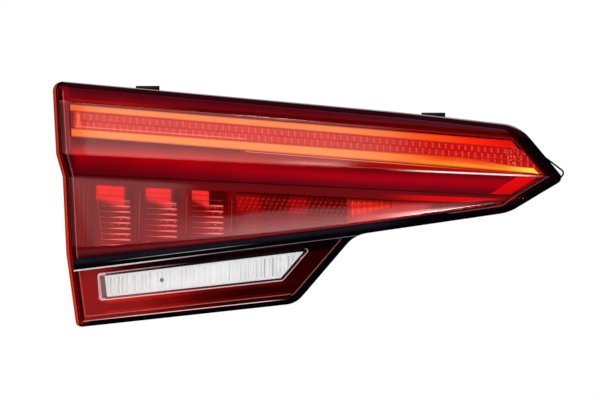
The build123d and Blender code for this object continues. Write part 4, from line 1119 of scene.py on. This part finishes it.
# Columns of the lens front: close together where the outline climbs, wider apart where it is level
lens_columns = []
for x in spaced([p.x for p in inner_loop]):
    if not lens_columns or x - lens_columns[-1] > (LEVEL_GAP if is_level(x) else STEEP_GAP):
        lens_columns.append(x)
lens_columns = spaced(lens_columns + [loop_right])
ledge, band_top = kept_inside(at(LEDGE)), kept_inside(band_top_at)
lens_patch(RED, lens_columns, upper_chain, band_top)
lens_patch(BLACK, lens_columns, band_top, ledge)
lobe_columns = [x for x in lens_columns if height(LEDGE, x) > lower_chain(x) - 0.5]
# Columns of the window: closer together at its slanted ends
window_columns = [p.x for p in window_loop()] + list(np.arange(window_left, window_left + 4.0, 0.25))
window_columns += list(np.arange(WINDOW_INNER[1] - 2.0, window_right, 0.5))
window_columns = spaced(window_columns + [x for x in lens_columns if window_left < x < window_right])
lens_patch(RED, [x for x in lobe_columns if x < window_left] + [window_left], ledge, lower_chain)
lens_patch(RED, [window_right] + [x for x in lobe_columns if x > window_right], ledge, lower_chain)
lens_patch(RED, window_columns, ledge, window_top)
lens_patch(RED, window_columns, window_low, lower_chain)
lens_patch(CLEAR, window_columns, window_top, window_low, window_line)
red_looks, black_looks, clear_looks = [red, skirt, red_inside], [black, matt_black], [clear, clear_inside]
clear_node = "clear_reverse_window"
open_wall = {"wall": LENS_WALL, "edge_tag": None}
piece("red_lens_shell", lens[RED], red_looks, "red_lens", "lens_red", inner_tag=2, **open_wall)
piece("black_lens_shell", lens[BLACK], black_looks, "black_lens_shot", "lens_black", BLACK_WALL, edge_tag=1)
piece("clear_lens_window", lens[CLEAR], clear_looks, clear_node, "lens_clear", inner_tag=1, **open_wall)


def optic(name, build, material, node, slot, wall, sharp=60.0):
    """Makes a piece whose wall lies straight behind its front."""
    piece(name, build, [material], node, slot, wall, (0, 1, 0), sharp)


def sheet(build, columns, heights, depth):
    """A sheet with points at the heights of each column; depth gives each point's depth and numbers."""
    rows = []
    for x in columns:
        row = []
        for z in heights(x):
            d, values = depth(x, z)
            row.append(build.point(x, d, z, **values))
        rows.append(row)
    build.grid(rows)


def optic_patch(build, columns, top, low, depth, row_count):
    """A fine sheet with evenly spaced rows between two heights at each column."""

    def heights(x):
        return [top(x) + (low(x) - top(x)) * i / row_count for i in range(row_count + 1)]

    sheet(build, columns, heights, depth)


def dome(u, v, rise):
    """A cushion-shaped rise over one pad, flat at its edge."""
    a = max(0.0, 1 - (2 * abs(u - 0.5)) ** 4)
    b = max(0.0, 1 - (2 * abs(v - 0.5)) ** 4)
    return rise * math.sqrt(a * b)


def cushion(x, z, setback, along, row, rise):
    """Depth and numbers of a cushion optic, at a place so many pads along it and so many rows down."""
    u, v = along % 1.0, 1.0 - row % 1.0
    return front_depth(x, z, setback) + dome(u, v, rise), {"pad_u": u, "pad_v": v}


# Tail light guide: two rounded bars, the link between them and the thin threads beside the lower bar
guide_build = Build("across", "lower", "thread")


def bar(start, end, top, low, lower=0.0, thread=0.0, step=2.0):
    """A bar of the guide between two heights, rounded across."""

    def depth(x, z):
        v = (top(x) - z) / max(0.01, top(x) - low(x))
        fall = GUIDE_ROUND * (2 * v - 1) ** 2
        return front_depth(x, z, GUIDE_SETBACK) - fall, {"across": v, "lower": lower, "thread": thread}

    optic_patch(guide_build, [*np.arange(start, end, step), end], top, low, depth, row_count=10)


def cut_short(top, cut):
    """A bar's top that falls along the tip's slant beyond the cut, so that the bar ends in a point."""
    return lambda x: top(x) if x < cut else top(cut) - CUT_SLOPE * (x - cut)


def lower_bar_top(x):
    """Top of the lower bar, which narrows towards the tip."""
    return height(LOWER_TOP, x) - LOWER_NECK * ramp(x, *NECK_STRETCH)


# The bars end where their cut meets their low edge, which falls too
LOW_FALL = 0.08
SLANT = CUT_SLOPE - LOW_FALL
UPPER_END = UPPER_CUT + (height(GUIDE_TOP, UPPER_CUT) - height(UPPER_LOW, UPPER_CUT)) / SLANT
LOWER_END = LOWER_CUT + (lower_bar_top(LOWER_CUT) - height(GUIDE_LOW, LOWER_CUT)) / SLANT
bar(GUIDE_START, UPPER_END - 0.2, cut_short(at(GUIDE_TOP), UPPER_CUT), at(UPPER_LOW), step=1.0)
low_top = cut_short(lower_bar_top, LOWER_CUT)
bar(GUIDE_START + 1.0, LOWER_END - 0.2, low_top, at(GUIDE_LOW), lower=1.0, step=1.0)
bar(LINK_X, LINK_X + LINK_WIDTH, at(UPPER_LOW), at(LOWER_TOP), step=0.3)
for start, end, line, upper, lower in THREADS:
    bar(start, end, at(shifted(line, upper)), at(shifted(line, lower)), thread=1.0)
optic("guide_bars", guide_build, guide_material(), "tail_light_guide", "guide_amber", GUIDE_DEEP)

# Stop light optic: two staggered rows of cushions inside the light guide
stop_top = shifted(UPPER_LOW, -0.3)
stop_low = shifted(LOWER_TOP, 0.3)
stop_upper, stop_lower, _, stop_right = chains(outline_loop(STOP_INSET)[0])
stop_build = Build("pad_u", "pad_v")


def stop_depth(x, z):
    """Depth of the stop optic: two rows of cushions, half a pitch apart."""
    row = 2.0 * (height(stop_top, x) - z) / (height(stop_top, x) - height(stop_low, x))
    along = (x - STOP_START) / STOP_PITCH + (0.5 if row >= 1 else 0.0)
    return cushion(x, z, PAD_SETBACK, along, row, rise=0.8)


def stop_top_at(x):
    """Top of the stop optic, kept inside the outline at the tip."""
    return min(stop_upper(x), height(stop_top, x)) if x > 0 else height(stop_top, x)


def stop_low_at(x):
    """Low edge of the stop optic, which follows the lower bar towards the tip."""
    return max(stop_lower(x), low_top(x) + 0.3, height(GUIDE_LOW, x)) if x > 0 else height(stop_low, x)


stop_columns = [x for x in np.arange(STOP_START, stop_right, 0.5) if stop_top_at(x) - stop_low_at(x) > 0.3]
optic_patch(stop_build, stop_columns, stop_top_at, stop_low_at, stop_depth, row_count=24)
optic("stop_optic_strip", stop_build, stop_material(), "stop_optic", "optic_red", STOP_DEEP)

# Fog light optic: cushions with slanted ticks
fog_build = Build("pad_u", "pad_v")


def fog_depth(x, z):
    """Depth of the fog optic: rows of cushions, each row moved along by the stagger."""
    row = (height(CELL_TOP, x) - z) / FOG_ROW
    along = (x - FOG_X) / FOG_PITCH + FOG_STAGGER * math.floor(row)
    return cushion(x, z, FOG_SETBACK, along, row, rise=0.6)


fog_columns = np.arange(FOG_X, FOG_END + 0.01, 0.5)
optic_patch(fog_build, fog_columns, at(CELL_TOP), at(CELL_LOW), fog_depth, row_count=70)
fog_zones = [(-58.0, 14.0, (0.50, 0.02, 0.022)), (-18.0, 10.0, (0.46, 0.02, 0.022))]
fog_mat = pad_material(
    "fog_optic_red",
    pad=(0.16, 0.010, 0.012),
    tick_highlight=(0.70, 0.20, 0.18),
    gap=(0.10, 0.006, 0.008),
    glow=0.5,
    zones=fog_zones,
    slant=-0.5,
)
optic("fog_optic_panel", fog_build, fog_mat, "fog_optic", "optic_red", PANEL_DEEP)

# Side optic: two rows of upright ribs
side_build = Build("pad_u", "pad_v")


def side_depth(x, z):
    """Depth of the side optic: rows of cushions above each other."""
    row = SIDE_ROWS * (height(CELL_TOP, x) - z) / (height(CELL_TOP, x) - height(SIDE_LOW, x))
    along = (x - SIDE_X) / (SIDE_END - SIDE_X) * SIDE_RIBS
    return cushion(x, z, FOG_SETBACK, along, row, rise=1.0)


side_columns = np.arange(SIDE_X, SIDE_END + 0.01, 0.4)
optic_patch(side_build, side_columns, at(CELL_TOP), at(SIDE_LOW), side_depth, row_count=28)
side_mat = pad_material(
    "side_optic_red",
    pad=(0.80, 0.13, 0.08),
    tick_highlight=(1.0, 0.50, 0.32),
    gap=(0.26, 0.012, 0.012),
    glow=0.6,
)
optic("side_optic_panel", side_build, side_mat, "side_optic", "optic_red", PANEL_DEEP)

# Reversing light optic: uneven upright flutes
reverse_build = Build("flute", "edge")
reverse_top, reverse_low, reverse_left, reverse_right = chains(window_loop(OPTIC_RIM, OPTIC_RETURN))


def flute_depth(x, z):
    """Depth of the reversing optic: two waves make uneven flutes, level at the edge."""
    turn = x * 2 * math.pi
    wave = math.sin(turn / FLUTE_PITCH) + SECOND_SHARE * math.sin(turn / SECOND_PITCH + 1.0)
    ridge = 0.5 + FLUTE_LIFT * wave
    edge = min(reverse_top(x) - z, z - reverse_low(x), x - reverse_left)
    fade = min(1.0, max(0.0, edge / 1.5))
    return front_depth(x, z, REVERSE_SETBACK) + ridge * fade, {"flute": ridge, "edge": edge}


reverse_columns = np.arange(reverse_left + 0.02, reverse_right, 0.35)
optic_patch(reverse_build, reverse_columns, reverse_top, reverse_low, flute_depth, row_count=24)
optic("reverse_optic_panel", reverse_build, flute_material(), "reverse_optic", "optic_clear", REVERSE_DEEP)

# Fog light reflector: three cells whose floors climb in curved steps
cell_build = Build("cell_u", "cell_v", "step", "in_cell")


def cell_depth(x, z):
    """Depth of the reflector: its flange, or the dished and stepped floor of a cell."""
    flange = front_depth(x, z, CELL_SETBACK)
    top, low = height(CELL_TOP, x), height(CELL_LOW, x)
    starts = [start for start in CELL_STARTS if start <= x <= start + CELL_WIDTH]
    if not starts or not low <= z <= top:
        return flange, {}
    u = (x - starts[0]) / CELL_WIDTH
    fall = (top - z) / CELL_STEP
    index, part = math.floor(fall), fall % 1.0
    rise = CELL_DISH * (2 * u - 1.0) ** 2 + CELL_CLIMB * (index + part**3)
    values = {"in_cell": 1.0, "cell_u": u, "cell_v": (z - low) / (top - low), "step": part}
    return min(flange - 0.4, flange - CELL_DEEP + rise), values


def cell_heights(x):
    """Heights of the reflector's points at x: close together round each step and at the cells' edges."""
    top, low = height(CELL_TOP, x), height(CELL_LOW, x)
    deepest = height(CELL_TOP, CELL_STARTS[0]) - height(CELL_LOW, CELL_STARTS[0])
    zs = [top + 2.0, top + 0.02]
    for i in range(math.ceil(deepest / CELL_STEP)):
        zs += [top - CELL_STEP * (i + t) for t in (0.0, 0.25, 0.5, 0.75, 0.92, 0.995)]
    return [max(low + 0.02, z) for z in zs] + [low - 0.02, low - 2.0]


cell_columns = [CELL_STARTS[0] - CELL_BORDER, CELL_STARTS[-1] + CELL_WIDTH + CELL_BORDER]
for start in CELL_STARTS:
    end = start + CELL_WIDTH
    cell_columns += [start - 0.05, *np.linspace(start, end, 33), end + 0.05]
sheet(cell_build, spaced(cell_columns), cell_heights, cell_depth)
cell_mat = reflector_material()
optic("fog_reflector_cells", cell_build, cell_mat, "fog_reflector", "reflector_red", CELL_WALL, sharp=40.0)


def cad_material(node, material):
    """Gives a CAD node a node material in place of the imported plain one."""
    slots = nodes[node].data.materials
    slots.clear()
    slots.append(material)


def softened(node, width=0.4, segments=2):
    """Rounds the edges of a CAD node a little, so that they catch light."""
    bevel = nodes[node].modifiers.new("soft_edges", "BEVEL")
    bevel.width = width * MM
    bevel.segments = segments
    bevel.limit_method = "ANGLE"
    bevel.angle_limit = math.radians(40)


board = moulded("board_white", (0.72, 0.72, 0.70), 0.45, 0.1)
led = moulded("led_body", (0.80, 0.66, 0.25), 0.25, 0.05)
cad_looks = {
    "inner_bezel": trim_material(),
    "rear_housing": moulded("housing_black", (0.018, 0.018, 0.020), 0.48, 0.35),
    "mounting_studs": moulded("stud_zinc", (0.60, 0.58, 0.52), 0.32, 0.2, metallic=1.0),
    "connector_socket": moulded("connector_grey", (0.045, 0.045, 0.050), 0.42, 0.25),
    "connector_pins": moulded("pin_tin", (0.72, 0.68, 0.58), 0.25, 0.05, metallic=1.0),
    "body_gasket": moulded("gasket_foam", (0.030, 0.030, 0.032), 0.95, 1.0, spread=0.4),
    "vent_cap": moulded("vent_black", (0.022, 0.022, 0.024), 0.65, 0.3),
    "top_clips": moulded("clip_black", (0.006, 0.006, 0.007), 0.5, 0.2, shine=0.15),
    "tip_lip": moulded("lip_rubber", (0.006, 0.006, 0.007), 0.6, 0.3, shine=0.15),
    "board_screws": moulded("screw_steel", (0.50, 0.50, 0.52), 0.3, 0.1, metallic=1.0),
    "board_jumpers": moulded("jumper_film", (0.70, 0.58, 0.30), 0.4, 0.05),
    "stop_tail_board": board,
    "fog_board": board,
    "reverse_board": board,
    "stop_leds": led,
    "tail_leds": led,
    "fog_leds": led,
    "reverse_leds": led,
}
for node, look in cad_looks.items():
    cad_material(node, look)
for node in ("rear_housing", "connector_socket", "vent_cap", "top_clips"):
    softened(node)


def stage_plane(name, corners, material):
    """A flat stage card through four corners, in metres."""
    mesh = bpy.data.meshes.new(name)
    mesh.from_pydata(corners, [], [(0, 1, 2, 3)])
    mesh.materials.append(material)
    card = bpy.data.objects.new(name, mesh)
    bpy.context.scene.collection.objects.link(card)
    return card


def mirrored_only(card):
    """Lets a card be seen in reflections and nowhere else."""
    card.visible_camera = False
    card.visible_diffuse = False
    card.visible_transmission = False
    card.visible_shadow = False


def seen_rays(s):
    """1 for rays of the camera, of mirrors and of clear plastic, 0 for light that falls."""
    path = s.add("LightPath")
    seen = s.larger(path.outputs["Is Camera Ray"], path.outputs["Is Glossy Ray"])
    return s.larger(seen, path.outputs["Is Transmission Ray"])


def floor_material():
    """Pale floor: white to the camera and in reflections, plain diffuse for the light that falls on it."""
    s = Shade("floor_pale")
    plain = s.add("BsdfDiffuse", {"Color": (0.92, 0.92, 0.92)})
    white = s.add("Emission", {"Color": (1, 1, 1), "Strength": 1.0})
    return s.finish(s.blend(s.times(seen_rays(s), 0.85), plain, white))


def flag_material():
    """Black of the cards that keep the pale surroundings out of reflections."""
    s = Shade("flag_black")
    return s.finish(s.add("BsdfDiffuse", {"Color": (0.0, 0.0, 0.0)}))


def studio_world():
    """White where it is seen, dimmer for the light that falls."""
    s = Shade("studio", "World")
    ambient = s.add("Background", {"Strength": 0.6})
    backdrop = s.add("Background", {"Color": (1, 1, 1), "Strength": 1.0})
    return s.finish(s.blend(seen_rays(s), ambient, backdrop))


# Reflection card, seen from the lens front: how far away it stands and how it maps to the lens
HAZE_Y, HAZE_REACH = -2.4, 2320.0
HAZE_MIDDLE, HAZE_SPREAD, LENS_MIDDLE = 154.0, 3.275, 30.0
HAZE_X, HAZE_LOW, HAZE_TOP = 1.1, 0.15, 4.3


def haze_material():
    """Soft box seen in the lens: it starts higher towards the tip, brightens upwards, with a hot corner."""
    s = Shade("haze_card")
    _, x, _, z = s.place()
    lens_x = s.scaled(x, 1 / HAZE_SPREAD, LENS_MIDDLE - HAZE_MIDDLE / HAZE_SPREAD)
    angle = s.math("DEGREES", s.math("ARCTANGENT", s.over(z, HAZE_REACH)))
    above = s.minus(angle, s.scaled(lens_x, 0.036, 16.5))
    rise = s.scaled(s.smooth(above, -0.5, 4.5), 0.8, s.smooth(above, 4.0, 24.0))
    rise = s.plus(rise, s.smooth(above, 22.0, 38.0))
    main = s.times(rise, s.smooth(lens_x, 125.0, 40.0), s.smooth(angle, 58.0, 52.0))
    end = s.times(s.smooth(lens_x, -184.5, -188.0), s.smooth(angle, 14.4, 15.6))
    low_end = s.times(s.smooth(lens_x, -204.0, -208.0), s.smooth(angle, 14.6, 14.2))
    main = s.times(main, s.spread(s.larger(end, low_end), 1.0, 0.4))
    main = s.times(main, s.minus(1.0, s.times(s.smooth(lens_x, 46.0, 64.0), s.smooth(angle, 30.0, 36.0))))
    warmth = s.times(s.smooth(angle, 32.0, 38.0), 5.0)
    warmth = s.scaled(s.smooth(angle, 40.0, 48.0), 16.0, warmth)
    hot = s.times(s.between(lens_x, -4.0, 48.0, 24.0), warmth, s.smooth(angle, 58.0, 52.0))
    strength = s.plus(main, hot)
    return s.finish(s.add("Emission", {"Color": (1, 1, 1), "Strength": strength}))


# The floor, and a box of black cards around the lamp, each made from the corners of a square
FLOOR_REACH, FLOOR_Z = 6, -0.5
FLAG_BOX = ((-3.0, 3.0), (-3.6, 2.5), (-0.45, 4.8))
FLAG_NAMES = (("flag_left", "flag_right"), ("flag_front", "flag_back"), ("flag_low", "flag_top"))
QUAD = ((0, 0), (1, 0), (1, 1), (0, 1))
floor_corners = [((2 * a - 1) * FLOOR_REACH, (2 * b - 1) * FLOOR_REACH, FLOOR_Z) for a, b in QUAD]
stage_plane("floor", floor_corners, floor_material())
flag = flag_material()
for axis, names in enumerate(FLAG_NAMES):
    for end, name in enumerate(names):
        ends = [(*pair[:axis], end, *pair[axis:]) for pair in QUAD]
        corners = [[FLAG_BOX[i][e] for i, e in enumerate(three)] for three in ends]
        mirrored_only(stage_plane(name, corners, flag))
haze_corners = [((2 * a - 1) * HAZE_X, HAZE_Y, (HAZE_LOW, HAZE_TOP)[b]) for a, b in QUAD]
mirrored_only(stage_plane("haze_card", haze_corners, haze_material()))
bpy.context.scene.world = studio_world()

LAMP_MIDDLE = Vector((-0.01, -0.06, -0.03))


def soft_box(name, azimuth, elevation, distance, width, tall, radiance):
    """An area light that faces the lamp, placed by its azimuth from -Y towards +X and its elevation."""
    data = bpy.data.lights.new(name, "AREA")
    data.shape = "RECTANGLE"
    data.size, data.size_y = width, tall
    data.energy = radiance * math.pi * width * tall
    light = bpy.data.objects.new(name, data)
    bpy.context.scene.collection.objects.link(light)
    a, e = math.radians(azimuth), math.radians(elevation)
    way = Vector((math.sin(a) * math.cos(e), -math.cos(a) * math.cos(e), math.sin(e)))
    light.location = LAMP_MIDDLE + way * distance
    light.rotation_euler = way.to_track_quat("Z", "Y").to_euler()
    return light


# Lights: azimuth, elevation, distance, width, height and radiance. Only the last shows in reflections
LIGHTS = {
    "front_box": (1.0, 30.0, 2.2, 1.15, 1.55, 1.35),
    "left_key": (-62.0, 38.0, 1.8, 0.9, 0.9, 5.0),
    "right_key": (62.0, 42.0, 1.8, 0.9, 0.9, 4.0),
    "back_fill": (165.0, 45.0, 2.2, 1.2, 1.2, 1.6),
}
for name, numbers in LIGHTS.items():
    soft_box(name, *numbers).visible_glossy = name == "back_fill"

# Camera: a long lens from a little left of straight ahead, framed by the photograph's width and scale
YAW, DISTANCE = 3.06, 8.0
PHOTO_WIDTH, MM_PER_PIXEL, SENSOR = 597, 0.78325, 36.0
AIM = (-18.25, -72.0, -30.2)
aim = Vector(AIM) * MM
camera_data = bpy.data.cameras.new("camera")
camera_data.sensor_width = SENSOR
camera_data.lens = SENSOR * DISTANCE / (PHOTO_WIDTH * MM_PER_PIXEL * MM)
camera = bpy.data.objects.new("camera", camera_data)
bpy.context.scene.collection.objects.link(camera)
yaw = math.radians(YAW)
camera.location = aim + Vector((-math.sin(yaw), -math.cos(yaw), 0.0)) * DISTANCE
camera.rotation_euler = (aim - camera.location).to_track_quat("-Z", "Y").to_euler()
bpy.context.scene.camera = camera
bpy.context.scene.view_settings.view_transform = "Standard"
